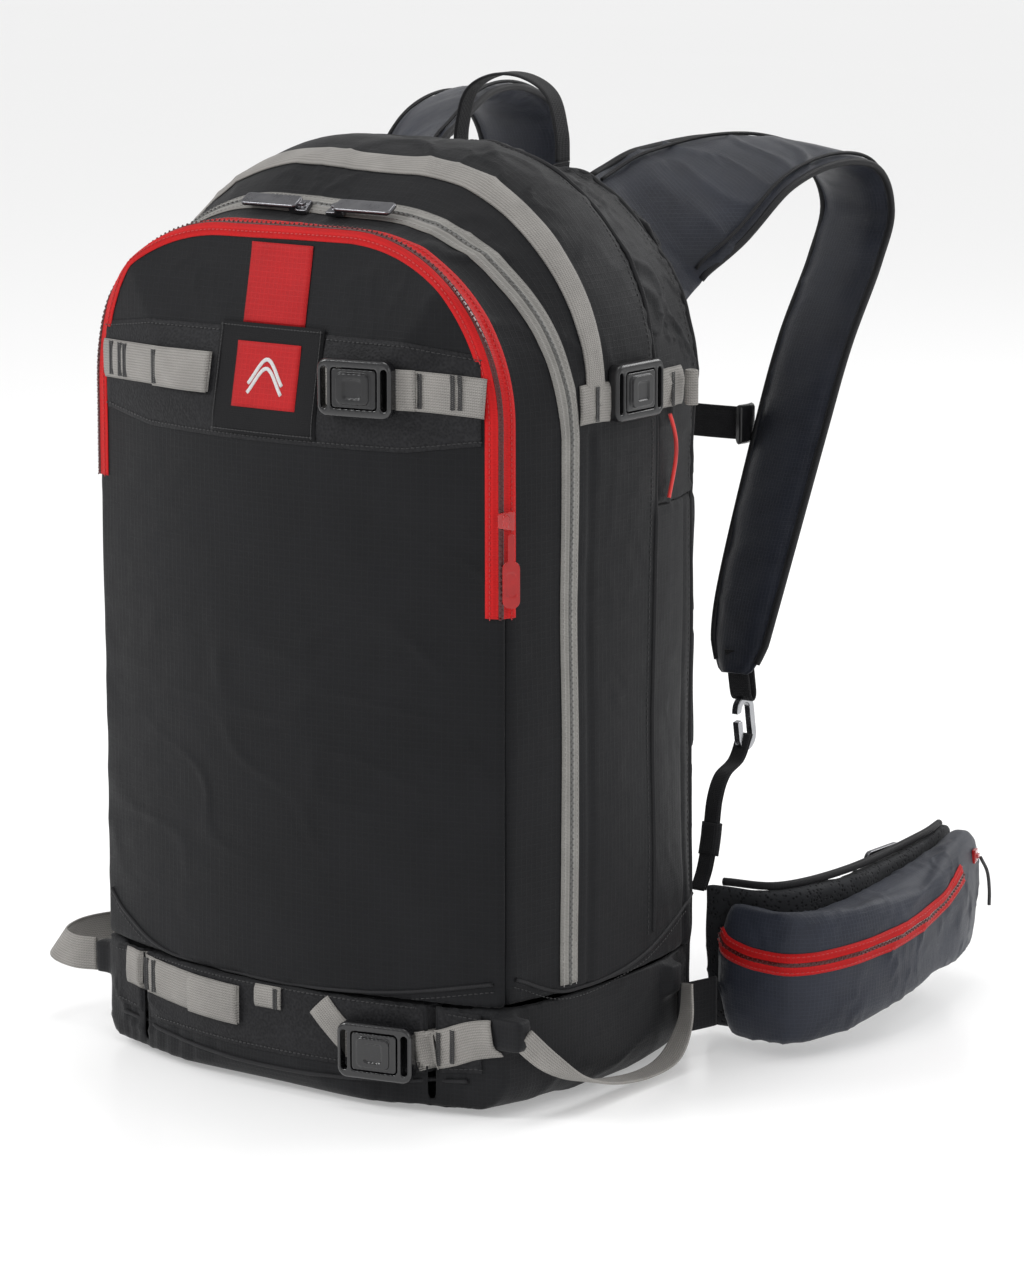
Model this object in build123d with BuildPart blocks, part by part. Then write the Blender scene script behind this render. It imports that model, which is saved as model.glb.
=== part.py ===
"""Avalanche airbag backpack, standing on its base, as an assembly of separate pieces.

Frame, in millimetres: origin at the centre of the base on the floor, +Z up, -Y the outer face with the
pocket, +Y the side that lies on the wearer's back, +X the wearer's right.
"""

import os
from math import acos, cos, radians, sin, tan

from build123d import *

# ---------------------------------------------------------------- driving dimensions
WALL = 4.0  # padded fabric wall of the bag
POCKET_WALL = 3.0  # thinner fabric wall of the front pocket
PAD_TOP = 3.0  # top of the base pad, where the bag begins
SEAM_Z = 64.0  # seam between the base boot and the bag above it
BAG_FRONT, BAG_BACK = -74.0, 118.0  # the main compartment's front and rear planes
PANEL_BACK = 134.0  # rear face of the padded back panel

# y, half width, bottom, bottom radius, top, top radius: outlines of the bag, front to back
BAG_SECTIONS = [
    (BAG_FRONT, 145, PAD_TOP, 20, 490, 100),
    (-45, 152, PAD_TOP, 20, 498, 112),
    (0, 157, PAD_TOP, 20, 525, 125),
    (60, 155, PAD_TOP, 20, 527, 125),
    (BAG_BACK, 137, PAD_TOP, 20, 514, 112),
]

BULGE_HALF, BULGE_EDGE, BULGE_MID = 145.0, -76.0, -106.0  # the pocket's curved front in plan
LEAN_START, LEAN_TOP, POCKET_TOP = 375.0, -82.0, 490.0  # where the front leans back, and its top
POCKET_RADIUS = 100.0  # the pocket's top corners

ARC_SHARE = 0.45  # of the shorter run, taken by each arc of a cord
CORD_THICK, CABLE_THICK = 2.4, 5.0
WEB = 22.0  # width of the grey webbing
WEB_THICK = 1.8
PATCH_THICK = 1.2
UPPER_Z, LOWER_Z = 408.0, 48.0  # mid heights of the upper and lower front straps
COVER_Y, COVER_Z = 52.0, 330.0  # the airbag cover's front edge and lowest edge

STRAP_PIVOT = (137.0, 480.0)  # y and z of the shoulder straps' sewn root
STRAP_THICK = 12.0
STERNUM_Y, STERNUM_Z = 242.0, 350.0
WING_PAD, WING_HEIGHT, WING_TILT = 10.0, 90.0, 4.8  # thickness, height, and rise in degrees to the tip
WING_FOOT = (112.0, 3.0)  # y and z of the wings' lowest edge
BELT_Z = 62.0  # mid height of the belt webbing and its buckle
CYLINDER_X, CYLINDER_Y, CYLINDER_R, CYLINDER_LENGTH = -78.0, 66.0, 26.0, 190.0
CYLINDER_FOOT = 84.0
PIN_TRAVEL = 6.0  # room above the firing pin for its stroke

pieces = {}


def keep(name, part):
    """Stores a finished piece under the name of its node."""
    pieces[name] = part


def keep_pair(name, right):
    """Stores a piece made for the wearer's right, and its mirror image for the left."""
    keep(f"{name}_right", right)
    keep(f"{name}_left", mirror(right, about=Plane.YZ))


def box(x, y, z):
    """A box from three (low, high) ranges, used outside any builder."""
    size = (x[1] - x[0], y[1] - y[0], z[1] - z[0])
    return Location((x[0], y[0], z[0])) * Box(*size, align=(Align.MIN, Align.MIN, Align.MIN))


def ribbon(plane, points, radius, thickness, width):
    """A strap centred on a plane, where its edge view is a filleted line with round ends."""
    with BuildPart() as strap:
        with BuildSketch(plane):
            with BuildLine():
                FilletPolyline(*points, radius=radius)
                offset(amount=thickness / 2)
            make_face()
        extrude(amount=width / 2, both=True)
    return strap.part


def arc_radii(points):
    """For each corner of a cord's route, 0.45 of its shorter run over the tangent of half the turn."""
    runs = [Vector(*b) - Vector(*a) for a, b in zip(points, points[1:])]
    radii = []
    for before, after in zip(runs, runs[1:]):
        turn = acos(before.normalized().dot(after.normalized()))
        radii.append(ARC_SHARE * min(before.length, after.length) / tan(turn / 2))
    return radii


def tube(name, plane_points, diameter):
    """A round cord or cable along straight runs joined by tangent arcs."""
    radii = arc_radii(plane_points)
    print(name, "arc radii", [round(radius, 1) for radius in radii])
    with BuildPart() as cable:
        with BuildLine() as route:
            FilletPolyline(*plane_points, radius=radii)
        with BuildSketch(Plane(route.line @ 0, z_dir=route.line % 0)):
            Circle(diameter / 2)
        sweep()
    return cable.part


def slab(plane, width, height, thickness, corner):
    """A flat piece with rounded corners and softened edges, standing on a plane."""
    with BuildPart() as plate:
        with BuildSketch(plane):
            RectangleRounded(width, height, corner)
        extrude(amount=thickness)
        top = plate.faces().sort_by(SortBy.AREA)[-2:].sort_by(lambda f: plane.to_local_coords(f.center()).Z)
        chamfer(top[-1].edges(), min(1.0, thickness / 4))
    return plate.part


# ---------------------------------------------------------------- the bag's shells
def bag_skin(inset):
    """The bag's outer form, moved inwards by inset: a loft through its outlines from front to back."""
    last = len(BAG_SECTIONS) - 1
    with BuildPart() as skin:
        for i, (y, half, bottom, low_radius, top, high_radius) in enumerate(BAG_SECTIONS):
            if inset > 0 and i == 0:
                y += inset
            if inset > 0 and i == last:
                y -= inset
            with BuildSketch(Plane.XZ.offset(-y)) as outline:
                with Locations((0, (bottom + top) / 2)):
                    Rectangle(2 * (half - inset), top - bottom - 2 * inset)
                fillet(outline.vertices().group_by(Axis.Y)[-1], high_radius - inset)
                fillet(outline.vertices().group_by(Axis.Y)[0], low_radius - inset)
        loft()
    return skin.part


def front_bulge(inset, low, high=POCKET_TOP):
    """The curved front of the bag between two heights, moved inwards by inset (outwards if negative)."""
    half = BULGE_HALF - inset
    crown = POCKET_TOP - inset
    front = BULGE_MID + inset
    depth = BULGE_EDGE - front
    plan_radius = (half**2 + depth**2) / (2 * depth)  # the circle through the crown and both edges
    with BuildPart() as bulge:
        with BuildSketch(Plane.XZ.offset(-BAG_FRONT)) as face:
            with Locations((0, (crown + PAD_TOP) / 2)):
                Rectangle(2 * half, crown - PAD_TOP)
            fillet(face.vertices().group_by(Axis.Y)[-1], POCKET_RADIUS - inset)
            fillet(face.vertices().group_by(Axis.Y)[0], 20 - inset)
        extrude(amount=60)
        with BuildSketch():
            with Locations((0, front + plan_radius)):
                Circle(plan_radius)
        extrude(amount=POCKET_TOP + 20, mode=Mode.INTERSECT)
        with BuildSketch(Plane.YZ.offset(-BULGE_HALF - 10)):
            with BuildLine():
                ThreePointArc((-92, 0), (front + 3, 9), (front, 26))
                Polyline(
                    (front, 26),
                    (front, LEAN_START),
                    (LEAN_TOP + inset, POCKET_TOP + 10),
                    (BAG_FRONT, POCKET_TOP + 10),
                    (BAG_FRONT, 0),
                    (-92, 0),
                )
            make_face()
        extrude(amount=2 * BULGE_HALF + 20, mode=Mode.INTERSECT)
    return bulge.part & box((-200, 200), (-200, 0), (low, min(high, crown)))


def front_layer(inner, outer, x, z):
    """A thin layer on the pocket's front, from inner to outer above the fabric, cut to a box."""
    skin = front_bulge(-outer, PAD_TOP + 5) - front_bulge(-inner, PAD_TOP + 4)
    return skin & box(x, (-140, BULGE_EDGE), z)


def bag_band(outer, x, y, z):
    """A thin band on the bag's outer surface, cut to a box."""
    return (bag_skin(-outer) - bag_skin(0)) & box(x, y, z)


def arch(y, half, foot, crown, radius, depth):
    """An upright slab with two round top corners, from y towards the wearer by depth."""
    with BuildPart() as body:
        with BuildSketch(Plane.XZ.offset(-y)) as outline:
            with Locations((0, (foot + crown) / 2)):
                Rectangle(2 * half, crown - foot)
            fillet(outline.vertices().group_by(Axis.Y)[-1], radius)
            fillet(outline.vertices().group_by(Axis.Y)[0], 8)
        extrude(amount=-depth)
    return body.part


def make_shells():
    outer, inner = bag_skin(0), bag_skin(WALL)
    shell = outer - inner
    upper = shell & box((-200, 200), (-200, 200), (SEAM_Z, 600))
    cover_room = box((-200, 200), (COVER_Y, BAG_BACK - WALL), (COVER_Z, 600))
    keep("main_bag", upper - cover_room)
    keep("airbag_cover", upper & cover_room)
    tub = front_bulge(0, PAD_TOP, SEAM_Z) - (
        front_bulge(POCKET_WALL, PAD_TOP + POCKET_WALL, SEAM_Z) & box((-200, 200), (-200, -77), (0, 600))
    )
    anchors = [
        box((140, 160.8), (-84, -72), (42, 60)),
        box((150, 160.8), (66, 78), (42, 60)),
        box((-160.8, -140), (-72, -60), (36, 56)),
        box((-160.8, -150), (56, 68), (36, 56)),
    ]
    keep("base_boot", (shell & box((-200, 200), (-200, 200), (PAD_TOP, SEAM_Z))) + tub + (Part() + anchors - inner))
    hollow = front_bulge(POCKET_WALL, SEAM_Z + POCKET_WALL) & box((-200, 200), (-200, -77), (0, 600))
    keep("front_pocket", front_bulge(0, SEAM_Z) - hollow)


def make_base_pad():
    with BuildPart() as base_pad:
        with BuildSketch():
            with Locations((0, 12)):
                RectangleRounded(250, 180, 30)
        extrude(amount=PAD_TOP)
    keep("base_pad", base_pad.part)


def make_back_panel():
    """The foam back panel, and the sheet and stays in a pocket inside it."""
    panel = arch(BAG_BACK, 129, 1, 508, 106, PANEL_BACK - BAG_BACK)
    room = arch(BAG_BACK + 1, 105, 36, 484, 84, 6)
    tabs = box((-41, -29), (126, 132), (504, 510)) + box((29, 41), (126, 132), (504, 510))
    keep("back_panel", (panel - room) + tabs)
    keep("frame_sheet", arch(BAG_BACK + 1.5, 103, 40, 480, 82, 2))
    with BuildPart() as stays:
        with BuildSketch(Plane.XZ.offset(-(BAG_BACK + 3.7))):
            with GridLocations(110, 1, 2, 1):
                with Locations((0, 250)):
                    RectangleRounded(16, 400, 7)
        extrude(amount=-3)
    keep("frame_stays", stays.part)


# ---------------------------------------------------------------- tapes, patches and webbing sewn to the bag
def make_sewn_trim():
    window = arch(-140, BULGE_HALF - 11, -20, POCKET_TOP - 11, POCKET_RADIUS - 11, 70)
    tape = front_bulge(-1.5, PAD_TOP + 5, 600) - front_bulge(0, PAD_TOP)
    keep("front_zip_tape", (tape - window) & box((-200, 200), (-140, BULGE_EDGE), (325, 600)))
    with BuildPart() as leaning_slab:
        with BuildSketch(Plane.YZ.offset(-200)):
            with BuildLine():
                Polyline(
                    (-36, SEAM_Z + 4), (-36, 380), (-53, 500), (-53, 530), (-39, 530), (-39, 500), (-22, 380),
                    (-22, SEAM_Z + 4), close=True
                )
            make_face()
        extrude(amount=400)
    keep("main_zip_tape", (bag_skin(-1.5) - bag_skin(0)) & leaning_slab.part)
    keep("badge_patch", front_layer(0, 1.5, (-37, 37), (376, 437)))
    keep("red_stripe", front_layer(0, 0.8, (-22, 22), (437.2, 478)))
    upper = front_layer(0, PATCH_THICK, (-133, 133), (373, 434)) - box((-37.2, 37.2), (-200, 0), (360, 450))
    upper = upper & window
    lower = front_layer(0, PATCH_THICK, (-133, 133), (22, 63.5))
    keep("strap_patches", upper + lower)
    step = PATCH_THICK
    single = front_layer(step, step + WEB_THICK, (-133, -41), (UPPER_Z - WEB / 2, UPPER_Z + WEB / 2))
    double = front_layer(
        step + WEB_THICK, step + 2 * WEB_THICK, (-84, -41), (UPPER_Z - WEB / 2, UPPER_Z + WEB / 2)
    )
    right = front_layer(step, step + WEB_THICK, (90, 134), (UPPER_Z - WEB / 2, UPPER_Z + WEB / 2))
    keep("upper_strap", (single + double + right) & window)
    left = front_layer(step, step + WEB_THICK, (-121, -20), (LOWER_Z - WEB / 2, LOWER_Z + WEB / 2))
    tab = front_layer(step, step + WEB_THICK, (-9, 10), (49, 63))
    right = front_layer(step, step + WEB_THICK, (99, 132), (LOWER_Z - WEB / 2 - 5, LOWER_Z + WEB / 2 - 5))
    keep("lower_strap", left + tab + right)
    keep("top_strap", bag_band(WEB_THICK, (-200, 200), (-20, -20 + WEB), (446, 600)))
    rear = bag_band(WEB_THICK, (-200, 200), (51, 76), (385, 385 + WEB))
    front = bag_band(WEB_THICK, (-200, 200), (-20, -2), (385, 385 + WEB))
    side = (rear + front) - box((-140, 140), (-60, 100), (300, 500))
    keep("side_straps", side)


# ---------------------------------------------------------------- hook buckles
def hook_buckle(plane):
    """A buckle's fixed loop and the hook plate that swings out of it, on a plane on the bag."""
    with BuildPart() as loop:
        with BuildSketch(plane):
            RectangleRounded(46, 32, 6)
            RectangleRounded(28.6, 22.6, 2, mode=Mode.SUBTRACT)
            with Locations((-18.6, 0)):
                RectangleRounded(4, 23, 1.8, mode=Mode.SUBTRACT)
            with Locations((18.6, 0)):
                RectangleRounded(4, 23, 1.8, mode=Mode.SUBTRACT)
        extrude(amount=7)
        chamfer(loop.faces().sort_by(SortBy.AREA)[-1].outer_wire().edges(), 1.2)
    with BuildPart() as hook:
        with BuildSketch(plane.offset(2.5)):
            RectangleRounded(27.4, 21.4, 1.6)
        extrude(amount=4.5)
        with BuildSketch(plane.offset(7)):
            RectangleRounded(20, 17, 3)
        extrude(amount=1.6)
        with BuildSketch(plane.offset(8.6)):
            RectangleRounded(11, 11, 2)
        extrude(amount=-0.8, mode=Mode.SUBTRACT)
    return loop.part, hook.part


def make_buckles():
    turn = radians(9)
    upper = Plane((66, -103.0, UPPER_Z), x_dir=(cos(turn), sin(turn), 0), z_dir=(sin(turn), -cos(turn), 0))
    loop, hook = hook_buckle(upper)
    keep("upper_buckle_frame", loop)
    keep("upper_buckle_hook", hook)
    turn = radians(12)
    lower = Plane((76, -101.8, 35), x_dir=(cos(turn), sin(turn), 0), z_dir=(sin(turn), -cos(turn), 0))
    loop, hook = hook_buckle(lower)
    keep("lower_buckle_frame", loop)
    keep("lower_buckle_hook", hook)
    side = Plane((157.9, 25, 400), x_dir=(0, 1, 0), z_dir=(1, 0, 0))
    loop, hook = hook_buckle(side)
    keep("side_buckle_frames", loop + mirror(loop, about=Plane.YZ))
    keep_pair("side_buckle_hook", hook)


# ---------------------------------------------------------------- zip sliders
def zip_slider(plane, length=11.0, width=9.0, height=4.0):
    """A slider body with its bridge, standing on a plane."""
    with BuildPart() as slider:
        with BuildSketch(plane):
            Trapezoid(length, width, 80)
        extrude(amount=height * 0.6)
        with BuildSketch(plane.offset(height * 0.6)):
            RectangleRounded(length * 0.6, width * 0.35, 1.2)
        extrude(amount=height * 0.4)
    return slider.part


def make_sliders():
    turn = radians(40)
    outward = (sin(turn), -cos(turn), 0)
    corner = Plane((146.6, -77.8, 339), x_dir=(0, 0, 1), z_dir=outward)
    keep("front_zip_slider", zip_slider(corner))
    pull_plane = Plane((149.8, -77.4, 318), x_dir=(cos(turn), sin(turn), 0), z_dir=outward)
    with BuildPart() as pull:
        with BuildSketch(pull_plane):
            with Locations((0, 6)):
                RectangleRounded(3.5, 16, 1.5)
            with Locations((0, -14)):
                RectangleRounded(9.5, 26, 4)
            with Locations((0, -14)):
                RectangleRounded(6, 14, 2.8, mode=Mode.SUBTRACT)
        extrude(amount=2.2)
        with BuildSketch(pull_plane.offset(0.4)):
            with Locations((0, -14)):
                RectangleRounded(6, 14, 2.8)
        extrude(amount=1.4)
    keep("front_zip_pull", pull.part)
    slope = radians(32)
    normal = (0, -sin(slope), cos(slope))
    top = Plane((13, -51.6, 496.6), x_dir=(1, 0, 0), z_dir=normal)
    body = zip_slider(top, 12, 10, 5)
    tab_plane = Plane((33, -54.0, 499.6), x_dir=(1, 0, 0), z_dir=normal)
    tab = slab(tab_plane, 40, 10, 2.4, 3)
    keep_pair("main_zip_slider", body + tab)


# ---------------------------------------------------------------- inside the bag
def make_inside():
    """The gas cylinder, the head it screws into, its firing pin, the folded airbag and its cable."""
    axis = Plane((CYLINDER_X, CYLINDER_Y, CYLINDER_FOOT))
    with BuildPart() as cylinder:
        with BuildSketch(axis):
            Circle(CYLINDER_R)
        extrude(amount=CYLINDER_LENGTH)
        fillet(cylinder.edges().filter_by(GeomType.CIRCLE).group_by(Axis.Z)[-1], 18)
        fillet(cylinder.edges().filter_by(GeomType.CIRCLE).group_by(Axis.Z)[0], 10)
        with BuildSketch(axis.offset(CYLINDER_LENGTH - 0.5)):
            Circle(8)
        extrude(amount=14)
    keep("gas_cylinder", cylinder.part)
    head_z = CYLINDER_LENGTH + 6
    with BuildPart() as head:
        with BuildSketch(axis.offset(head_z)):
            RectangleRounded(44, 36, 6)
        extrude(amount=46)
        with BuildSketch(axis.offset(head_z)):
            Circle(8.5)
        extrude(amount=9, mode=Mode.SUBTRACT)
        with BuildSketch(axis.offset(head_z + 20)):
            Circle(3.2)
        extrude(amount=30, mode=Mode.SUBTRACT)
        with BuildSketch(Plane.YZ.offset(CYLINDER_X + 20)):
            with Locations((CYLINDER_Y, CYLINDER_FOOT + head_z + 26)):
                Circle(13)
        extrude(amount=22)
        with BuildSketch(Plane.XZ.offset(-CYLINDER_Y + 18)):
            with Locations((CYLINDER_X, CYLINDER_FOOT + head_z + 24)):
                Circle(11)
        extrude(amount=4)
    keep("inflator_head", head.part)
    with BuildPart() as pin:
        with BuildSketch(axis.offset(head_z + 21)):
            Circle(2.9)
        extrude(amount=36)
        with BuildSketch(axis.offset(head_z + 57)):
            Circle(5)
        extrude(amount=4)
    keep("firing_pin", pin.part)
    with BuildPart() as airbag:
        with BuildSketch(Plane.YZ.offset(-82)):
            with Locations((82, 458)):
                RectangleRounded(54, 62, 20)
        extrude(amount=164)
    keep("folded_airbag", airbag.part)
    top = CYLINDER_FOOT + head_z + 61
    route = [(CYLINDER_X, CYLINDER_Y, top + PIN_TRAVEL), (CYLINDER_X, CYLINDER_Y, top + 32), (-96, 84, top + 62)]
    route += [(-108, 108, top + 76)]
    keep("trigger_cable", tube("trigger_cable", route, CABLE_THICK))


# ---------------------------------------------------------------- shoulder straps and what they carry
# centre, direction, width: sections of the right shoulder strap, from its root over the shoulder to its end
STRAP_SECTIONS = [
    ((90, 145.0, 489), (0.25, 0.80, 0.55), 84),
    ((99, 172, 505), (0.20, 0.92, 0.34), 78),
    ((109, 215, 517), (0.12, 0.99, 0.08), 70),
    ((117, 262, 516), (0.08, 0.98, -0.18), 66),
    ((122, 298, 503), (0.04, 0.75, -0.66), 62),
    ((124, 315, 477), (0.0, -0.05, -1.0), 58),
    ((125, 300, 446), (0.0, -0.55, -0.83), 57),
    ((126, 266, 400), (0.0, -0.55, -0.83), 57),
    ((126, 240, 350), (0.0, -0.45, -0.89), 56),
    ((127, 194, 255), (0.0, -0.38, -0.92), 50),
    ((127, 180, 210), (0.0, -0.25, -0.97), 38),
]
STRAP_TWIST = 12.0  # degrees that the hanging strap turns its outer face towards the wearer's side
# how far the left strap's arch stands above the right's and outside it, at each section
LEFT_LIFT = [0, 8, 20, 24, 24, 20, 10, 3, 0, 0, 0]
LEFT_SPLAY = [4, 6, 6, 4, 2, 1, 0, 0, 0, 0, 0]


def shoulder_strap(lifts, splays):
    """A strap for the wearer's right, with each section raised and moved outwards."""
    turn = radians(STRAP_TWIST)
    with BuildPart() as strap:
        for (centre, direction, width), lift, splay in zip(STRAP_SECTIONS, lifts, splays):
            x, y, z = centre
            section = Plane((x + splay, y, z + lift), x_dir=(cos(turn), -sin(turn), 0), z_dir=direction)
            with BuildSketch(section):
                RectangleRounded(width, STRAP_THICK, 4)
        loft()
    return strap.part


def make_shoulder_straps():
    level = [0] * len(STRAP_SECTIONS)
    keep("shoulder_strap_right", shoulder_strap(level, level))
    keep("shoulder_strap_left", mirror(shoulder_strap(LEFT_LIFT, LEFT_SPLAY), about=Plane.YZ))


def make_sternum_strap():
    across = Plane.XY.offset(STERNUM_Z)
    web = ribbon(across, [(24, STERNUM_Y - 4), (62, STERNUM_Y - 6), (92, STERNUM_Y - 3)], 40, 1.6, 20)
    slider = box((88, 94.5), (STERNUM_Y - 11, STERNUM_Y + 5), (STERNUM_Z - 12, STERNUM_Z + 12))
    hole = box((80, 99), (STERNUM_Y - 6, STERNUM_Y), (STERNUM_Z - 11, STERNUM_Z + 11))
    right = web + (slider - hole)
    keep("sternum_strap_right", right)
    keep("sternum_strap_left", mirror(right, about=Plane.YZ))
    socket = Plane((12.5, STERNUM_Y - 4, STERNUM_Z - 13), x_dir=(1, 0, 0), z_dir=(0, 0, 1))
    with BuildPart() as female:
        with BuildSketch(socket):
            RectangleRounded(25, 9, 3)
        extrude(amount=26)
        with BuildSketch(socket.offset(2.5)):
            with Locations((-4, 0)):
                Rectangle(19, 4.6)
        extrude(amount=21, mode=Mode.SUBTRACT)
    keep("sternum_buckle_female", female.part - box((20, 30), (200, 300), (STERNUM_Z - 10.5, STERNUM_Z + 10.5)))
    with BuildPart() as male:
        with BuildSketch(Plane.XZ.offset(-(STERNUM_Y - 4))):
            with Locations((-11, STERNUM_Z)):
                RectangleRounded(21, 24, 3)
            for side in (-1, 0, 1):
                with Locations((7, STERNUM_Z + side * 7)):
                    RectangleRounded(17, 3.2, 1.5)
        extrude(amount=1.9, both=True)
    keep("sternum_buckle_male", male.part)


def make_strap_hooks():
    """The metal hook at the end of each shoulder strap, and the webbing that it holds at the panel's foot."""
    plane = Plane((128, 189, 179), x_dir=(0, 1, 0), z_dir=(1, 0, 0))
    with BuildPart() as hook:
        with BuildSketch(plane):
            SlotOverall(34, 18, rotation=100)
            SlotOverall(25, 9, rotation=100, mode=Mode.SUBTRACT)
            with Locations((-9, 4)):
                Rectangle(9, 5, rotation=10, mode=Mode.SUBTRACT)
        extrude(amount=2.2, both=True)
    keep_pair("strap_hook", hook.part)
    path = [(184, 157), (165, 152), (157, 130), (151, 104), (143, 88)]
    web = ribbon(Plane.YZ.offset(128), path, 5, 1.8, 10)
    sleeve = box((121, 135), (149, 158), (108, 122)) - box((122.8, 133.2), (151, 156), (100, 130))
    right = web + sleeve
    keep("lower_webbing", right + mirror(right, about=Plane.YZ))


def make_trigger():
    """The pouch on the left shoulder strap and the handle that is pulled down out of it."""
    plane = Plane((-126.5, 231.5, 300), x_dir=(1, 0, 0), z_dir=(0, 0.45, 0.89))
    with BuildPart() as pouch:
        with BuildSketch(plane):
            with Locations((0, 14.5)):
                RectangleRounded(40, 15, 5)
                RectangleRounded(33, 9.5, 3, mode=Mode.SUBTRACT)
        extrude(amount=34, both=True)
    keep("trigger_pouch", pouch.part)
    with BuildPart() as handle:
        with BuildSketch(plane.offset(-48)):
            with Locations((0, 14.5)):
                RectangleRounded(28, 7, 3)
        extrude(amount=70)
        with BuildSketch(plane.offset(-56)):
            with Locations((0, 14.5)):
                RectangleRounded(38, 11, 4.5)
        extrude(amount=14)
    keep("trigger_handle", handle.part)


# ---------------------------------------------------------------- hip belt
WING_PATH = [(140.5, 142), (184, 143), (200, 205), (193, 285), (180, 342)]
WING_BENDS = (30, 60, 80)
POCKET_OUTLINE = [
    (164, 118), (208, 119), (229, 172), (229, 225), (221, 286), (204, 338), (184, 340), (197, 205), (178, 147)
]


def wing_plane():
    tilt = radians(WING_TILT)
    y, z = WING_FOOT
    return Plane((0, y, z), x_dir=(1, 0, 0), z_dir=(0, -sin(tilt), cos(tilt)))


def wing_plan(points):
    """Plan points measured from the wings' foot, as their tilted plane needs them."""
    return [(x, y - WING_FOOT[0]) for x, y in points]


def make_hip_wings():
    plane = wing_plane()
    middle = plane.offset(WING_HEIGHT / 2)
    pad = ribbon(middle, wing_plan(WING_PATH), WING_BENDS, WING_PAD, WING_HEIGHT)
    with BuildPart() as side_view:
        with BuildSketch(Plane.YZ.offset(100)) as outline:
            with BuildLine():
                Polyline((134.8, 5), (352, 16), (352, 98), (134.8, 92), close=True)
            make_face()
            fillet(outline.vertices().group_by(Axis.X)[-1], 26)
        extrude(amount=140)
    keep_pair("hip_wing", pad & side_view.part)
    thick = ribbon(middle, wing_plan(WING_PATH), WING_BENDS, WING_PAD + 0.02, WING_HEIGHT + 20)
    with BuildPart() as pocket:
        with BuildSketch(plane.offset(4)) as plan:
            with BuildLine():
                Polyline(*wing_plan(POCKET_OUTLINE), close=True)
            make_face()
            fillet(plan.vertices().sort_by(Axis.X)[-4:], 24)
        extrude(amount=WING_HEIGHT - 12)
        with BuildSketch(plane.offset(4 + POCKET_WALL)) as plan:
            with BuildLine():
                Polyline(*wing_plan(POCKET_OUTLINE), close=True)
            make_face()
            fillet(plan.vertices().sort_by(Axis.X)[-4:], 24)
            offset(amount=-POCKET_WALL, kind=Kind.INTERSECTION)
        extrude(amount=WING_HEIGHT - 12 - 2 * POCKET_WALL, mode=Mode.SUBTRACT)
    sewn = (pocket.part - thick).solids().sort_by(SortBy.VOLUME)[-1]
    keep_pair("hip_pocket", Part(children=[]) + sewn)
    leg_strap = Location((-216.5, 200, 45)) * Box(12, 60, 26)
    keep("leg_strap", leg_strap)


def make_belt_ends():
    """Zip sliders on the hip pockets, and the belt webbing and buckle, folded in behind the wings' tips."""
    facing = (0.94, 0.34, 0)
    slider_plane = Plane((211.6, 318, 84), x_dir=(-0.34, 0.94, 0), z_dir=facing)
    keep_pair("hip_zip_slider", zip_slider(slider_plane, 10, 8, 4))
    folded = [(178.5, 349), (173, 358), (163, 352), (159.5, 336), (159, 321)]
    web = ribbon(Plane.XY.offset(BELT_Z), folded, 5, 2.0, 38)
    keep_pair("hip_web", web)
    with BuildPart() as hook:
        with BuildSketch(Plane.YZ.offset(159)):
            with Locations((298, BELT_Z)):
                RectangleRounded(40, 48, 6)
            with Locations((308, BELT_Z)):
                RectangleRounded(6, 40, 2, mode=Mode.SUBTRACT)
            with Locations((290, BELT_Z)):
                RectangleRounded(14, 34, 3, mode=Mode.SUBTRACT)
        extrude(amount=1.6, both=True)
    keep("hip_buckle_hook", hook.part)
    keep("hip_buckle_loop", mirror(hook.part, about=Plane.YZ))


def make_hip_stabilizers():
    """The triangular webs that draw each wing towards the bag."""
    with BuildPart() as web:
        with BuildSketch(Plane.XY.offset(14)):
            with BuildLine():
                Polyline((154.2, 79), (156.6, 79), (164, 108), (161.6, 108.6), close=True)
            make_face()
        extrude(amount=34)
    keep("hip_stabilizers", web.part + mirror(web.part, about=Plane.YZ))


# ---------------------------------------------------------------- loops and the side cord
def make_loops():
    path = [(-37, 513), (-34, 545), (-14, 561), (14, 561), (34, 545), (37, 513)]
    keep("haul_loop", ribbon(Plane.XZ.offset(-129), path, 15, 1.6, 14))
    hang = [(-80, 52), (-42, 20), (12, 6), (52, 6), (76, 30), (74, 50)]
    keep("ski_loop_right", ribbon(Plane.YZ.offset(168), hang, 10, WEB_THICK, 14))
    out = [(-162.2, -66), (-182, -70), (-205, -54), (-200, -24), (-182, 16), (-162.2, 62)]
    keep("ski_loop_left", ribbon(Plane.XY.offset(46), out, 10, WEB_THICK, WEB))


def make_side_cord():
    """The thin red cord that hangs behind the right side buckle."""
    route = [(159, 62, 382), (160, 66, 372), (158.5, 70, 359), (157.5, 68, 346), (157.2, 64, 334)]
    keep("side_cord", tube("side_cord", route, CORD_THICK))


make_shells()
make_base_pad()
make_back_panel()
make_sewn_trim()
make_buckles()
make_sliders()
make_inside()
make_shoulder_straps()
make_sternum_strap()
make_strap_hooks()
make_trigger()
make_hip_wings()
make_belt_ends()
make_hip_stabilizers()
make_loops()
make_side_cord()

if __name__ == "__main__":
    os.makedirs("parts", exist_ok=True)
    for name, part in pieces.items():
        part.label = name
        export_step(part, f"parts/{name}.step")
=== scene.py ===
"""An avalanche airbag backpack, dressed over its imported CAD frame.
"""

import math

import bmesh
import bpy
import numpy as np
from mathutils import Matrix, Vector
from mathutils.bvhtree import BVHTree


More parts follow.
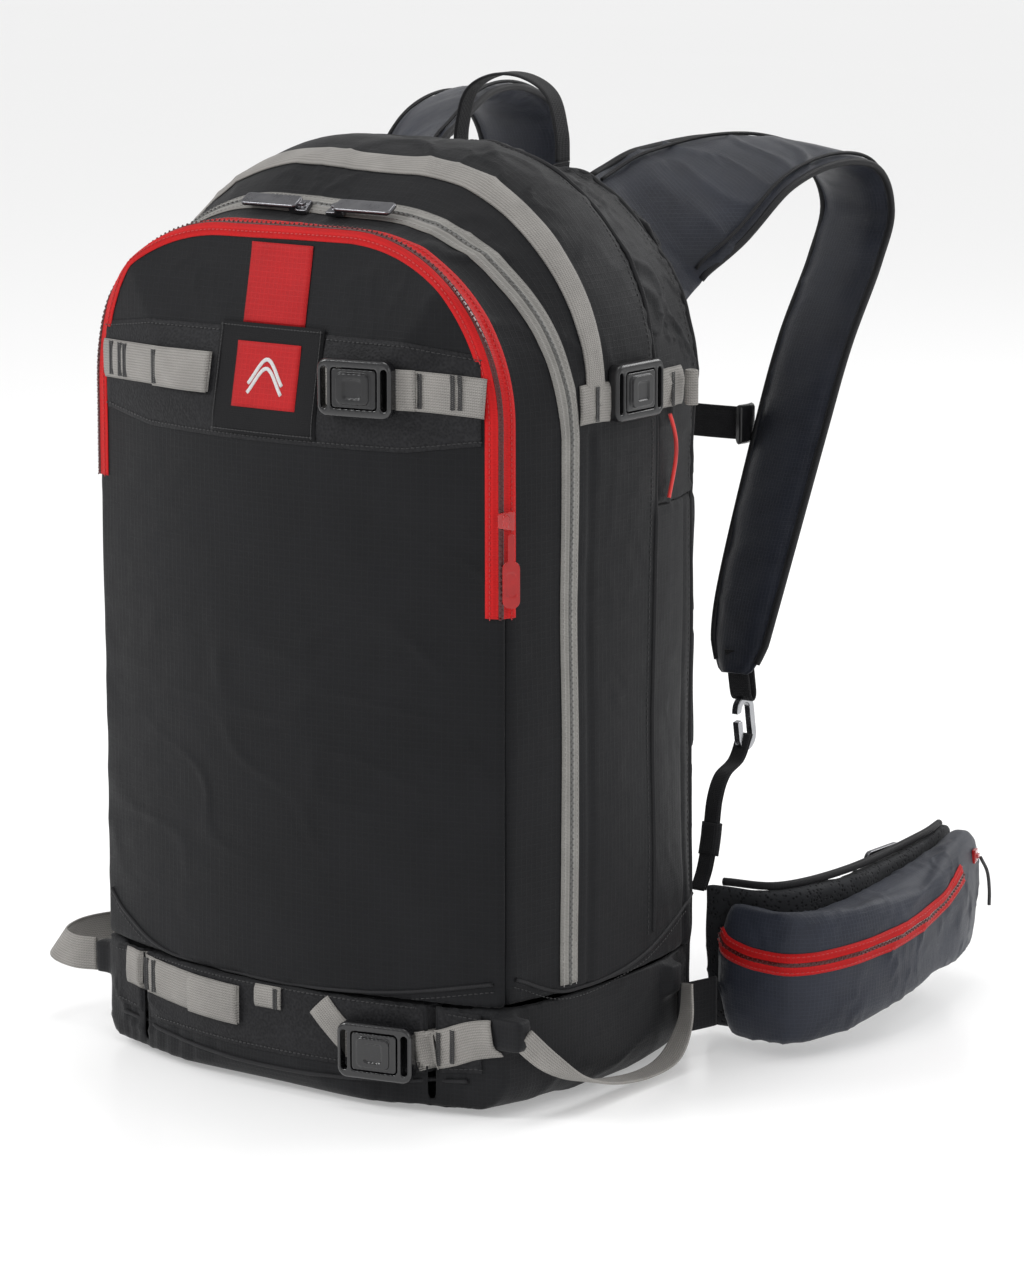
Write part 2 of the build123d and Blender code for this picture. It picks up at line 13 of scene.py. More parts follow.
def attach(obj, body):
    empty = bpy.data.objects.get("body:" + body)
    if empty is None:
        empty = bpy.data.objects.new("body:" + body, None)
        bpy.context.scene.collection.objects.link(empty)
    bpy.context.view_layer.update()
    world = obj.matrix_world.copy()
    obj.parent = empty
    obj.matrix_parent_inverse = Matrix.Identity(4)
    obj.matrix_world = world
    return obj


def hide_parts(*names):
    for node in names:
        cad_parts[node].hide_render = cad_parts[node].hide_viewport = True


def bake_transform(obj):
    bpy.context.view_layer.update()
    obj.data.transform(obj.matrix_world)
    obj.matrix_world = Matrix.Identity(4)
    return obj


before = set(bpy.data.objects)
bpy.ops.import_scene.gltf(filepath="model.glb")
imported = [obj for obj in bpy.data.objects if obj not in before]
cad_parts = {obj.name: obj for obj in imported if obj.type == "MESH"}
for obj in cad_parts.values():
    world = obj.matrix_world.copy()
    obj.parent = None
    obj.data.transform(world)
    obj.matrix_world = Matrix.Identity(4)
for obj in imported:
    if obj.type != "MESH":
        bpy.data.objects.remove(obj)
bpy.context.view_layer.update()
MM = 0.001
UP = np.array([0.0, 0.0, 1.0])
FRONT = np.array([0.0, -1.0, 0.0])
SIDES = ((1.0, "right"), (-1.0, "left"))
WEB_WIDTH, WEB_THICK = 22, 1.8
PAINTS = {}


# ---- materials
class Paint:
    """A material whose nodes are added one at a time."""

    def __init__(self, name, **fixed):
        self.material = bpy.data.materials.new(name)
        self.material.use_nodes = True
        self.tree = self.material.node_tree
        self.shader = self.tree.nodes["Principled BSDF"]
        for key, value in fixed.items():
            self.shader.inputs[key.replace("_", " ")].default_value = value
        place = self.add("ShaderNodeTexCoord")
        self.spot, self.facing, self.flat = (place.outputs[k] for k in ("Object", "Normal", "UV"))
        PAINTS[name] = self.material

    def feed(self, socket, value):
        if isinstance(value, bpy.types.NodeSocket):
            self.tree.links.new(value, socket)
        else:
            socket.default_value = value

    def add(self, kind, inputs=None, **settings):
        node = self.tree.nodes.new(kind)
        for key, value in settings.items():
            setattr(node, key, value)
        for key, value in (inputs or {}).items():
            self.feed(node.inputs[key], value)
        return node

    def maths(self, operation, *values):
        return self.add("ShaderNodeMath", dict(enumerate(values)), operation=operation).outputs[0]

    def ramp(self, value, low, high, to_low=0.0, to_high=1.0):
        inputs = {0: value, 1: low, 2: high, 3: to_low, 4: to_high}
        return self.add("ShaderNodeMapRange", inputs).outputs[0]

    def noise(self, size, detail=3.0, stretch=(1, 1, 1), rough=0.55):
        """Cloudy noise from 0 to 1 whose features are about size mm wide."""
        place = self.add("ShaderNodeMapping", {"Vector": self.spot, "Scale": stretch})
        inputs = {"Vector": place.outputs[0], "Scale": 1000.0 / size, "Detail": detail, "Roughness": rough}
        return self.add("ShaderNodeTexNoise", inputs).outputs[0]

    def cells(self, size, feature="F1"):
        """Distance from the middles of random cells about size mm wide."""
        inputs = {"Vector": self.spot, "Scale": 1000.0 / size}
        return self.add("ShaderNodeTexVoronoi", inputs, feature=feature).outputs[0]

    def grid(self, pitch, width):
        """Fine lines every pitch mm, along the two axes that the surface runs along."""
        xyz = self.add("ShaderNodeSeparateXYZ", {0: self.spot})
        way = self.add("ShaderNodeSeparateXYZ", {0: self.facing})
        total = 0.0
        for axis in range(3):
            turn = self.maths("FRACT", self.maths("MULTIPLY", xyz.outputs[axis], 1000.0 / pitch))
            off = self.maths("ABSOLUTE", self.maths("SUBTRACT", turn, 0.5))
            line = self.ramp(off, 0.5 - width, 0.5)
            shown = self.ramp(self.maths("ABSOLUTE", way.outputs[axis]), 0.75, 0.55)
            total = self.maths("MAXIMUM", total, self.maths("MULTIPLY", line, shown))
        return total

    def wave(self, run, pitch):
        """Rounded ridges, 0 to 1, every pitch mm of run."""
        return self.maths("ABSOLUTE", self.maths("SINE", self.maths("MULTIPLY", run, math.pi / pitch)))

    def ribs(self, axis, pitch, sharp=1.0):
        """Rounded ribs along one UV axis, every pitch mm. UVs are in mm."""
        uv = self.add("ShaderNodeSeparateXYZ", {0: self.flat})
        return self.maths("POWER", self.wave(uv.outputs[axis], pitch), sharp)

    def twill(self, pitch):
        """Rounded diagonal ribs over the UVs, which are in mm."""
        uv = self.add("ShaderNodeSeparateXYZ", {0: self.flat})
        return self.wave(self.maths("ADD", uv.outputs[0], uv.outputs[1]), pitch)

    def total(self, *pairs):
        """The sum of each value times its share."""
        out = 0.0
        for value, share in pairs:
            out = self.maths("MULTIPLY_ADD", value, share, out)
        return out

    def colour(self, factor, dark, light):
        """A mix of two colours by factor, from 0 to 1."""
        inputs = {0: factor, 6: (*dark, 1.0), 7: (*light, 1.0)}
        return self.add("ShaderNodeMix", inputs, data_type="RGBA", clamp_factor=True).outputs[2]

    def gloss(self, cloud, smooth, rough):
        """A roughness that runs from smooth to rough over a cloud."""
        return self.ramp(cloud, 0.3, 0.7, smooth, rough)

    def finish(self, colour, gloss, height, depth):
        """Joins the colour, the roughness and a bump of depth mm to the shader."""
        bump = self.add("ShaderNodeBump", {"Height": height, "Distance": depth * MM, "Strength": 1.0})
        for key, value in (("Base Color", colour), ("Roughness", gloss), ("Normal", bump.outputs[0])):
            self.feed(self.shader.inputs[key], value)


def fabric(name, dark, light, pitch, line, rough, sheen, crease=0.35, weave=0.8, shine=0.13):
    """Woven cloth: a ripstop grid, a fine weave, soft creases and uneven dye. The colour also follows the creases,
    with painted shade darker in their hollows and lighter on their tops.
    """
    p = Paint(name, Sheen_Weight=sheen, Sheen_Roughness=0.45, Specular_IOR_Level=shine)
    cloud = p.noise(55, 3)
    weft = p.noise(weave, 1, (1, 1, 3))
    warp = p.noise(weave, 1, (3, 3, 1))
    folds = p.noise(16, 4)
    lines = p.grid(pitch, line)
    # painted shade: the folds noise that shapes the creases also darkens the colour in their hollows and lightens it
    # on their tops; the cloud is uneven dye, the lines and weave are the cloth's own pattern
    tone = p.total((cloud, 0.5), (lines, 0.16), (weft, 0.3), (warp, 0.3), (folds, 0.25))
    gloss = p.ramp(p.total((folds, 0.6), (cloud, 0.4)), 0.3, 0.75, *rough)
    height = p.total((lines, 0.35), (weft, 0.45), (warp, 0.45), (folds, crease * 6.0))
    p.finish(p.colour(p.ramp(tone, 0.45, 0.95), dark, light), gloss, height, 0.22)


def pebbled(name, dark, light):
    """A coated panel with a fine pebble grain."""
    p = Paint(name, Specular_IOR_Level=0.16, Sheen_Weight=0.02)
    bumps = p.cells(1.3, "SMOOTH_F1")
    cloud = p.noise(30, 3)
    tone = p.total((bumps, 0.6), (cloud, 0.6))
    p.finish(p.colour(p.ramp(tone, 0.3, 0.9), dark, light), p.gloss(cloud, 0.5, 0.68), bumps, 0.3)


def webbing(name, dark, light):
    """Woven webbing with ribs along it and a herringbone across them."""
    p = Paint(name, Sheen_Weight=0.08, Sheen_Roughness=0.4, Specular_IOR_Level=0.15)
    ribs = p.ribs(1, 1.5, 0.7)
    picks = p.ribs(0, 1.1)
    slant = p.twill(1.6)
    cloud = p.noise(20, 3)
    fuzz = p.noise(0.6, 2)
    height = p.total((ribs, 0.5), (picks, 0.3), (slant, 0.3), (fuzz, 0.3))
    tone = p.total((height, 0.5), (cloud, 0.4), (fuzz, 0.2))
    p.finish(p.colour(p.ramp(tone, 0.35, 1.0), dark, light), p.gloss(cloud, 0.6, 0.78), height, 0.4)


def tape(name, dark, light):
    """Zip tape: tight ribs across it and a faint row of stitches along it."""
    p = Paint(name, Sheen_Weight=0.03, Specular_IOR_Level=0.15)
    ribs = p.ribs(0, 0.9)
    rows = p.ribs(1, 3.2, 3.0)
    cloud = p.noise(18, 3)
    height = p.total((ribs, 0.5), (rows, 0.5), (p.noise(0.7, 2), 0.3))
    tone = p.total((height, 0.5), (cloud, 0.5))
    p.finish(p.colour(p.ramp(tone, 0.3, 1.0), dark, light), p.gloss(cloud, 0.45, 0.62), height, 0.25)


def plastic(name, dark, light, rough=(0.3, 0.42), grain=0.5, coat=0.0):
    """Moulded plastic with a fine spark-eroded grain and light scuffs."""
    p = Paint(name, Specular_IOR_Level=0.5, Coat_Weight=coat, Coat_Roughness=0.12)
    grit = p.noise(grain, 2)
    cloud = p.noise(9, 4)
    scuff = p.ramp(p.noise(3, 4, (1, 6, 1)), 0.62, 0.75)
    tone = p.total((cloud, 0.7), (scuff, 0.5), (grit, 0.2))
    gloss = p.ramp(p.total((cloud, 0.8), (scuff, 0.4)), 0.3, 0.9, *rough)
    p.finish(p.colour(p.ramp(tone, 0.4, 1.1), dark, light), gloss, p.total((grit, 0.6), (cloud, 0.4)), 0.06)


def metal(name, dark, light, rough):
    """Plated metal with faint polishing marks."""
    p = Paint(name, Metallic=1.0)
    marks = p.noise(1.2, 3, (1, 1, 8))
    cloud = p.noise(8, 3)
    gloss = p.gloss(p.total((marks, 0.5), (cloud, 0.5)), *rough)
    p.finish(p.colour(cloud, dark, light), gloss, marks, 0.02)


def spacer_mesh(name, dark, light):
    """Open spacer mesh over foam, with small dark holes."""
    p = Paint(name, Sheen_Weight=0.05, Specular_IOR_Level=0.12)
    holes = p.ramp(p.cells(2.6), 0.1, 0.42)
    cloud = p.noise(25, 3)
    tone = p.total((holes, 0.7), (cloud, 0.4))
    p.finish(p.colour(p.ramp(tone, 0.2, 1.0), dark, light), p.gloss(cloud, 0.62, 0.8), holes, 0.6)


def rope(name, dark, light):
    """Braided cord, by its twill over UVs in mm."""
    p = Paint(name, Sheen_Weight=0.2)
    braid = p.twill(0.9)
    fuzz = p.noise(0.5, 2)
    tone = p.total((braid, 0.7), (fuzz, 0.4))
    p.finish(p.colour(tone, dark, light), p.gloss(fuzz, 0.5, 0.7), braid, 0.3)


def make_paints():
    fabric("ripstop_black", (0.0045, 0.0047, 0.0055), (0.0125, 0.0128, 0.0145), 3.6, 0.1, (0.48, 0.7), 0.06)
    fabric("boot_black", (0.0050, 0.0052, 0.0060), (0.015, 0.0153, 0.017), 2.6, 0.16, (0.46, 0.62), 0.06)
    fabric("satin_navy", (0.007, 0.008, 0.012), (0.024, 0.028, 0.042), 2.2, 0.1, (0.32, 0.48), 0.06, 0.5, 0.6, 0.3)
    fabric("slate_pocket", (0.011, 0.013, 0.020), (0.032, 0.037, 0.054), 2.4, 0.12, (0.38, 0.54), 0.06, 0.5, 0.7, 0.24)
    fabric("red_ripstop", (0.30, 0.008, 0.010), (0.50, 0.018, 0.020), 3.0, 0.12, (0.42, 0.58), 0.03, 0.15)
    fabric("badge_black", (0.004, 0.004, 0.005), (0.010, 0.010, 0.011), 1.2, 0.2, (0.5, 0.6), 0.02, 0.05)
    fabric("airbag_orange", (0.55, 0.13, 0.02), (0.8, 0.25, 0.05), 4.0, 0.1, (0.45, 0.6), 0.2, 0.6)
    pebbled("hypalon", (0.005, 0.005, 0.006), (0.024, 0.024, 0.026))
    webbing("grey_web", (0.13, 0.125, 0.118), (0.36, 0.345, 0.325))
    webbing("black_web", (0.005, 0.005, 0.006), (0.024, 0.024, 0.026))
    tape("red_tape", (0.38, 0.005, 0.006), (0.60, 0.012, 0.013))
    tape("grey_tape", (0.17, 0.165, 0.155), (0.36, 0.35, 0.33))
    tape("black_binding", (0.006, 0.006, 0.007), (0.03, 0.03, 0.032))
    plastic("black_plastic", (0.008, 0.008, 0.009), (0.028, 0.028, 0.030))
    plastic("gloss_black", (0.006, 0.006, 0.007), (0.02, 0.02, 0.022), (0.14, 0.26), 0.5, 0.4)
    plastic("red_rubber", (0.34, 0.006, 0.006), (0.58, 0.014, 0.012), (0.32, 0.48))
    plastic("red_gloss", (0.38, 0.006, 0.006), (0.62, 0.014, 0.012), (0.12, 0.25), 0.5, 0.5)
    plastic("grey_coil", (0.09, 0.09, 0.086), (0.22, 0.215, 0.205), (0.3, 0.45))
    plastic("dark_coil", (0.06, 0.004, 0.004), (0.16, 0.008, 0.008), (0.3, 0.45))
    plastic("sheet_plastic", (0.02, 0.02, 0.022), (0.06, 0.06, 0.065), (0.4, 0.55))
    metal("chrome", (0.30, 0.305, 0.32), (0.46, 0.465, 0.48), (0.16, 0.3))
    metal("gunmetal", (0.10, 0.10, 0.11), (0.24, 0.24, 0.25), (0.22, 0.4))
    metal("alloy", (0.45, 0.46, 0.48), (0.62, 0.63, 0.65), (0.3, 0.45))
    spacer_mesh("spacer_black", (0.004, 0.004, 0.005), (0.028, 0.029, 0.032))
    rope("red_cord", (0.30, 0.008, 0.008), (0.70, 0.03, 0.025))
    rope("black_cord", (0.006, 0.006, 0.007), (0.04, 0.04, 0.042))
    rope("red_thread", (0.40, 0.01, 0.01), (0.75, 0.04, 0.035))
    rope("black_thread", (0.004, 0.004, 0.005), (0.02, 0.02, 0.022))
    rope("grey_thread", (0.24, 0.23, 0.22), (0.46, 0.45, 0.43))
    rope("white_print", (0.62, 0.62, 0.62), (0.80, 0.80, 0.80))


# ---- geometry helpers
def unit(v):
    return v / np.maximum(np.linalg.norm(v, axis=-1, keepdims=True), 1e-9)


def curve(points, step):
    """A smooth line through the points, in even steps. Extra columns run along with it."""
    p = np.array(points, float)
    p = np.vstack([2 * p[0] - p[1], p, 2 * p[-1] - p[-2]])
    t = np.linspace(0, 1, 24, endpoint=False)[:, None]
    out = []
    for a, b, c, d in zip(p, p[1:], p[2:], p[3:]):
        out.append(0.5 * (2 * b + (c - a) * t + (2 * a - 5 * b + 4 * c - d) * t**2 + (3 * b - a - 3 * c + d) * t**3))
    out = np.vstack([*out, p[-2:-1]])
    run = np.concatenate([[0], np.cumsum(np.linalg.norm(np.diff(out[:, :3], axis=0), axis=1))])
    at = np.linspace(0, run[-1], max(int(run[-1] / step), 2) + 1)
    return np.column_stack([np.interp(at, run, column) for column in out.T])


def waves(points, size, seed, count=18):
    """A smooth seeded random field, about -1 to 1, with features about size mm wide."""
    rng = np.random.default_rng(seed)
    k = unit(rng.normal(size=(count, 3))).T * (2 * np.pi / size) * rng.uniform(0.6, 1.5, count)
    return np.sin(points @ k + rng.uniform(0, 2 * np.pi, count)).sum(1) / math.sqrt(count)


def creases(points, size, seed, sharp=0.28):
    """Thin raised folds, 0 to 1, that come and go over the surface."""
    ridge = np.exp(-((waves(points, size, seed) / sharp) ** 2))
    return ridge * np.clip(waves(points, size * 2.3, seed + 50) + 0.3, 0, 1)


def placed(name, data):
    """A new object in the scene."""
    obj = bpy.data.objects.new(name, data)
    bpy.context.scene.collection.objects.link(obj)
    return obj


def mirrored(side, points):
    """Points given for the right side, on the side that is asked for."""
    return np.array(points, float) * (side, 1, 1)


def add_mesh(name, verts, faces, uvs=None):
    mesh = bpy.data.meshes.new(name)
    mesh.from_pydata((np.asarray(verts, float) * MM).tolist(), [], faces)
    if uvs is not None:
        layer = mesh.uv_layers.new(name="UVMap")
        layer.data.foreach_set("uv", np.asarray(uvs, np.float32).ravel())
    bm = bmesh.new()
    bm.from_mesh(mesh)
    bmesh.ops.recalc_face_normals(bm, faces=bm.faces)
    bm.to_mesh(mesh)
    bm.free()
    mesh.shade_smooth()
    return placed(name, mesh)


def dress(obj, paint, body=None, stands_for=()):
    """Gives the piece its material and its body, and hides the CAD nodes that it stands for."""
    obj.data.materials.clear()
    obj.data.materials.append(PAINTS[paint])
    if body:
        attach(obj, body)
    if stands_for:
        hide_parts(*stands_for)
    return obj


def grey_web(obj, body="pack", stands_for=()):
    return dress(obj, "grey_web", body, stands_for)


def black_web(obj, body="pack", stands_for=()):
    return dress(obj, "black_web", body, stands_for)


def band(low, n):
    """Faces between a ring of n points, whose first is number low, and the ring after it."""
    return [(low + j, low + (j + 1) % n, low + n + (j + 1) % n, low + n + j) for j in range(n)]


def skin(name, rings, v):
    """A mesh over closed rings of points, capped at both ends. U runs along it and V is v, both in mm."""
    n, m = rings.shape[:2]
    v = np.broadcast_to(v, (n, m))
    step = np.linalg.norm(np.diff(rings.mean(1), axis=0), axis=1)
    along = np.concatenate([[0], np.cumsum(step)])
    faces = [face for low in range(0, (n - 1) * m, m) for face in band(low, m)]
    faces += [tuple(range(low, low + m)) for low in (0, (n - 1) * m)]
    uvs = [(along[k // m], v[k // m, k % m]) for face in faces for k in face]
    return add_mesh(name, rings.reshape(-1, 3), faces, uvs)


def sweep(name, path, across, up, profile):
    """A closed profile carried along the path. Its columns go along across and up."""
    path, across, up = (np.asarray(a, float) for a in (path, across, up))
    n = len(path)
    profile = np.broadcast_to(np.asarray(profile, float), (n, *np.asarray(profile).shape[-2:]))
    rings = path[:, None] + across[:, None] * profile[..., :1] + up[:, None] * profile[..., 1:2]
    return skin(name, rings, profile[..., 0])


def flat_profile(width, thick):
    """A strap's cross-section with rounded edges: one half, then the same half turned about."""
    edge = width / 2
    half = [(x, thick / 2) for x in np.linspace(-1, 1, 9) * (edge - thick / 2)]
    half += [(edge - 0.15 * thick, thick * 0.3), (edge, 0), (edge - 0.15 * thick, -thick * 0.3)]
    return np.concatenate([half, -np.array(half)])


def frames(path, across):
    """Across and up directions square to the path, from a rough across direction."""
    way = unit(np.gradient(path, axis=0))
    across = np.broadcast_to(np.asarray(across, float), path.shape)
    across = unit(across - way * (across * way).sum(1, keepdims=True))
    return across, np.cross(way, across)


def strap(name, points, across, width, thick=WEB_THICK, step=2.0):
    """Webbing along a smooth line. across is one direction or one for each point."""
    across = np.asarray(across, float)
    if across.ndim == 1:
        across = np.tile(across, (len(points), 1))
    line = curve(np.column_stack([points, across]), step)
    side, up = frames(line[:, :3], line[:, 3:])
    return sweep(name, line[:, :3], side, up, flat_profile(width, thick))


def pipe(name, points, radius, step=3.0):
    """A round piping or cord along a smooth line, without twist."""
    path = curve(points, step)
    way = unit(np.gradient(path, axis=0))
    hint = np.where(np.abs(way[:, 2:]) > 0.9, [[1.0, 0, 0]], [[0, 0, 1.0]])
    side = unit(np.cross(way, hint))
    for i in range(1, len(side)):
        kept = side[i - 1] - way[i] * (side[i - 1] @ way[i])
        side[i] = kept / max(np.linalg.norm(kept), 1e-9)
    turn = np.linspace(0, 2 * np.pi, 10, endpoint=False)
    ring = np.column_stack([np.cos(turn), np.sin(turn)]) * radius
    return sweep(name, path, side, np.cross(way, side), ring)


def copy_mesh(name, nodes):
    """One new object with the meshes of these CAD nodes."""
    bm = bmesh.new()
    for node in nodes:
        bm.from_mesh(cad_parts[node].data)
    mesh = bpy.data.meshes.new(name)
    bm.to_mesh(mesh)
    bm.free()
    return placed(name, mesh)


def applied(obj):
    """Makes the object's modifiers part of its mesh."""
    graph = bpy.context.evaluated_depsgraph_get()
    mesh = bpy.data.meshes.new_from_object(obj.evaluated_get(graph))
    obj.modifiers.clear()
    obj.data = mesh
    mesh.shade_smooth()
    return obj


def remeshed(name, nodes, voxel, rounds):
    """The CAD solids in small even faces, with their edges rounded."""
    obj = copy_mesh(name, nodes)
    remesh = obj.modifiers.new("even", "REMESH")
    remesh.mode = "VOXEL"
    remesh.voxel_size = voxel * MM
    smooth = obj.modifiers.new("round", "SMOOTH")
    smooth.factor = 0.5
    smooth.iterations = rounds
    return applied(obj)


def read(obj):
    """The points of a mesh, in mm, and its normals."""
    found = []
    for rows, key in ((obj.data.vertices, "co"), (obj.data.vertex_normals, "vector")):
        flat = np.empty(len(rows) * 3, np.float32)
        rows.foreach_get(key, flat)
        found.append(flat.reshape(-1, 3).astype(float))
    return found[0] / MM, found[1]


def write(obj, points):
    obj.data.vertices.foreach_set("co", (points * MM).astype(np.float32).ravel())
    obj.data.update()


def swell(obj, field):
    """Moves each point along its normal by what field(points, normals) gives, in mm."""
    points, way = read(obj)
    write(obj, points + way * field(points, way)[:, None])
    return obj


PUFF_PRESSURE, PUFF_CAP, PUFF_FRAMES = 4.0, 5.0, 20


def inflate(obj):
    """Lets the cloth swell under air pressure, no point further than PUFF_CAP mm."""
    start, _ = read(obj)
    cloth = obj.modifiers.new("cloth", "CLOTH")
    cloth.settings.use_pressure = True
    cloth.settings.uniform_pressure_force = PUFF_PRESSURE
    cloth.settings.effector_weights.gravity = 0
    cloth.point_cache.frame_start = 1
    cloth.point_cache.frame_end = PUFF_FRAMES
    for number in range(1, PUFF_FRAMES + 1):
        bpy.context.scene.frame_set(number)
    applied(obj)
    bpy.context.scene.frame_set(1)
    end, _ = read(obj)
    move = end - start
    far = np.linalg.norm(move, axis=1, keepdims=True)
    write(obj, start + move * np.minimum(1, PUFF_CAP / np.maximum(far, 1e-9)))


def subdivided(obj):
    more = obj.modifiers.new("finer", "SUBSURF")
    more.levels = more.render_levels = 1
    return applied(obj)


class Surface:
    """What trims are laid on: rays find the outside of some pieces."""

    def __init__(self, *pieces):
        verts = []
        faces = []
        for piece in pieces:
            start = len(verts)
            verts.extend(v.co[:] for v in piece.data.vertices)
            faces.extend([start + k for k in f.vertices] for f in piece.data.polygons)
        self.tree = BVHTree.FromPolygons(verts, faces)

    def height(self, point, out, reach=40.0):
        """How far out of point the surface is along out, in mm, or None."""
        start = (point + out * reach) * MM
        hit = self.tree.ray_cast(Vector(start), Vector(-out), 2 * reach * MM)
        return None if hit[0] is None else reach - hit[3] / MM

    def heights(self, points, out):
        got = [self.height(p, o) for p, o in zip(points, out)]
        known = np.array([0.0 if g is None else g for g in got])
        seen = np.array([g is not None for g in got])
        if seen.any() and not seen.all():
            known = np.interp(np.arange(len(known)), np.flatnonzero(seen), known[seen])
        return known


def eased(values):
    """Evens a row of numbers out along its first axis."""
    for _ in range(3):
        padded = np.concatenate([values[:1], values, values[-1:]])
        values = (padded[:-2] + 2 * padded[1:-1] + padded[2:]) / 4
    return values


def laid(name, surface, path, across, out, width, thick, lift, columns):
    """A flat strip that lies on the surface along the path, facing out."""
    across, out = (np.broadcast_to(way, path.shape) for way in (across, out))
    widths = np.broadcast_to(width, len(path))
    offsets = np.linspace(-0.5, 0.5, columns)
    base = path[:, None] + across[:, None] * (offsets[None, :, None] * widths[:, None, None])
    rise = np.column_stack([surface.heights(base[:, j], out) for j in range(columns)])
    rise = np.maximum(eased(rise), rise - 0.1) + lift
    low = base + out[:, None] * rise[..., None]
    top = low + out[:, None] * thick
    crown = np.clip(1 - np.abs(offsets * 2) ** 6, 0.35, 1)
    top = low + (top - low) * crown[None, :, None]
    rings = np.concatenate([low[:, ::-1], top], axis=1)
    return skin(name, rings, np.outer(widths, np.concatenate([offsets[::-1], offsets])))


def laid_line(surface, path, out, lift):
    """The path's points moved on to the surface, lift mm clear of it."""
    out = np.broadcast_to(out, path.shape)
    return path + out * (eased(surface.heights(path, out)) + lift)[:, None]


def framed(line, out, step):
    """Even spots along a line, with their along, across and out directions."""
    run = curve(np.column_stack([line, np.broadcast_to(out, line.shape)]), step)
    way = unit(np.gradient(run[:, :3], axis=0))
    up = unit(run[:, 3:6])
    return run[:, :3], way, unit(np.cross(way, up)), up


def beads(name, points, along, across, up, size):
    """Small rounded bars, one at each point. size is half-lengths along, across and up."""
    ring = [(-1, -1), (-0.5, -1.3), (0.5, -1.3), (1, -1), (1, 1), (0.5, 1.3), (-0.5, 1.3), (-1, 1)]
    levels = [(-0.2, 1.0), (0.6, 0.95), (1.0, 0.55)]
    n = len(ring)
    verts = []
    faces = []
    for p, a, b, c in zip(points, along, across, up):
        start = len(verts)
        for height, scale in levels:
            for x, y in ring:
                verts.append(p + a * size[0] * x * scale + b * size[1] * y / 1.3 * scale + c * size[2] * height)
        faces += band(start, n) + band(start + n, n)
        faces += [tuple(range(start + 2 * n, start + 3 * n)), tuple(range(start + n - 1, start - 1, -1))]
    return add_mesh(name, verts, faces)


# ---- bag, boot and front pocket
BAG_CENTRE = np.array([0.0, 22.0, 250.0])


def outside(points, way):
    """1 on faces that look away from the bag's centre, 0 on the lining."""
    ray = unit(points - BAG_CENTRE)
    return np.clip((ray * way).sum(1) * 3.0, 0, 1)


def near(value, middle, width):
    """1 at the middle, fading out width away from it."""
    return np.exp(-(((value - middle) / width) ** 2))


def bag_folds(points, way):
    _, y, z = points.T
    stretch = points * (1.0, 1.0, 0.5)
    soft = 1.0 * waves(points, 150, 3)
    folds = 2.2 * creases(stretch, 70, 11) + 1.2 * creases(points, 34, 12) * np.clip((z - 330) / 120, 0.25, 1)
    seams = -1.6 * near(y, 96, 2.2) - 1.3 * near(y, -12, 2.0) * (z < 380)
    return outside(points, way) * (soft + folds + seams)


def pocket_folds(points, way):
    z = points[:, 2]
    soft = 0.7 * waves(points, 130, 21)
    folds = 0.9 * creases(points * (0.6, 1, 1.0), 60, 22) * near(z, 230, 130)
    dips = 0.6 * creases(points, 26, 24) * near(z, 455, 30)
    calm = 1 - 0.7 * near(z, 408, 45)
    return (way[:, 1] < 0.2) * calm * (soft + folds + dips)


def boot_folds(points, way):
    soft = 0.7 * waves(points, 90, 31)
    folds = 1.3 * creases(points * (0.7, 0.7, 1.6), 46, 32)
    return outside(points, way) * (soft + folds)


def cover_folds(points, way):
    soft = 1.2 * waves(points, 80, 41)
    folds = 2.6 * creases(points * (1, 0.7, 1), 40, 42, 0.22) + 1.4 * creases(points, 22, 43)
    return outside(points, way) * (soft + folds)


def panel_channels(points, way):
    """Foam blocks with sewn channels between them, on the side that faces the wearer."""
    x, _, z = points.T
    back = np.clip(way[:, 1] * 2, 0, 1)
    spine = -4.5 * near(x, 0, 9)
    rows = sum(near(z, level + 0.0012 * x**2, 4.0) for level in (70, 150, 230, 310, 390, 450))
    crown = 1.2 * waves(points, 90, 51)
    return back * (spine - 3.2 * rows + crown + 0.5 * creases(points, 40, 52))


def soft(name, node, voxel, rounds, folds, paint="ripstop_black", slot="shell_fabric", fill=None, body="pack"):
    """A soft piece in place of one CAD node, with its folds."""
    piece = swell(remeshed(name, [node], voxel, rounds), folds)
    dress(piece, paint, body, [node])
    return piece


def make_shells():
    """The bag's soft shells. Gives the surfaces that trims are laid on: the front, and the whole bag."""
    bag = soft("bag_body", "main_bag", 3.0, 4, bag_folds)
    boot = soft("bag_boot", "base_boot", 2.6, 3, boot_folds, "boot_black", "boot_fabric")
    pocket = soft("front_pocket_skin", "front_pocket", 2.2, 4, pocket_folds)
    cover = soft("airbag_cover_skin", "airbag_cover", 2.6, 4, cover_folds)
    soft("back_panel_pad", "back_panel", 3.0, 5, panel_channels, "spacer_black", "panel_foam", 0.8)
    soft("base_pad_foam", "base_pad", 2.0, 2, lambda p, w: 0.2 * waves(p, 30, 61), "boot_black", "boot_fabric", 0.9)
    soft("airbag_roll", "folded_airbag", 3.0, 4, lambda p, w: 1.2 * creases(p, 14, 62) - 1.6, "airbag_orange",
         "airbag_cloth", 0.7)
    return Surface(pocket, boot), Surface(bag, boot, cover, pocket)


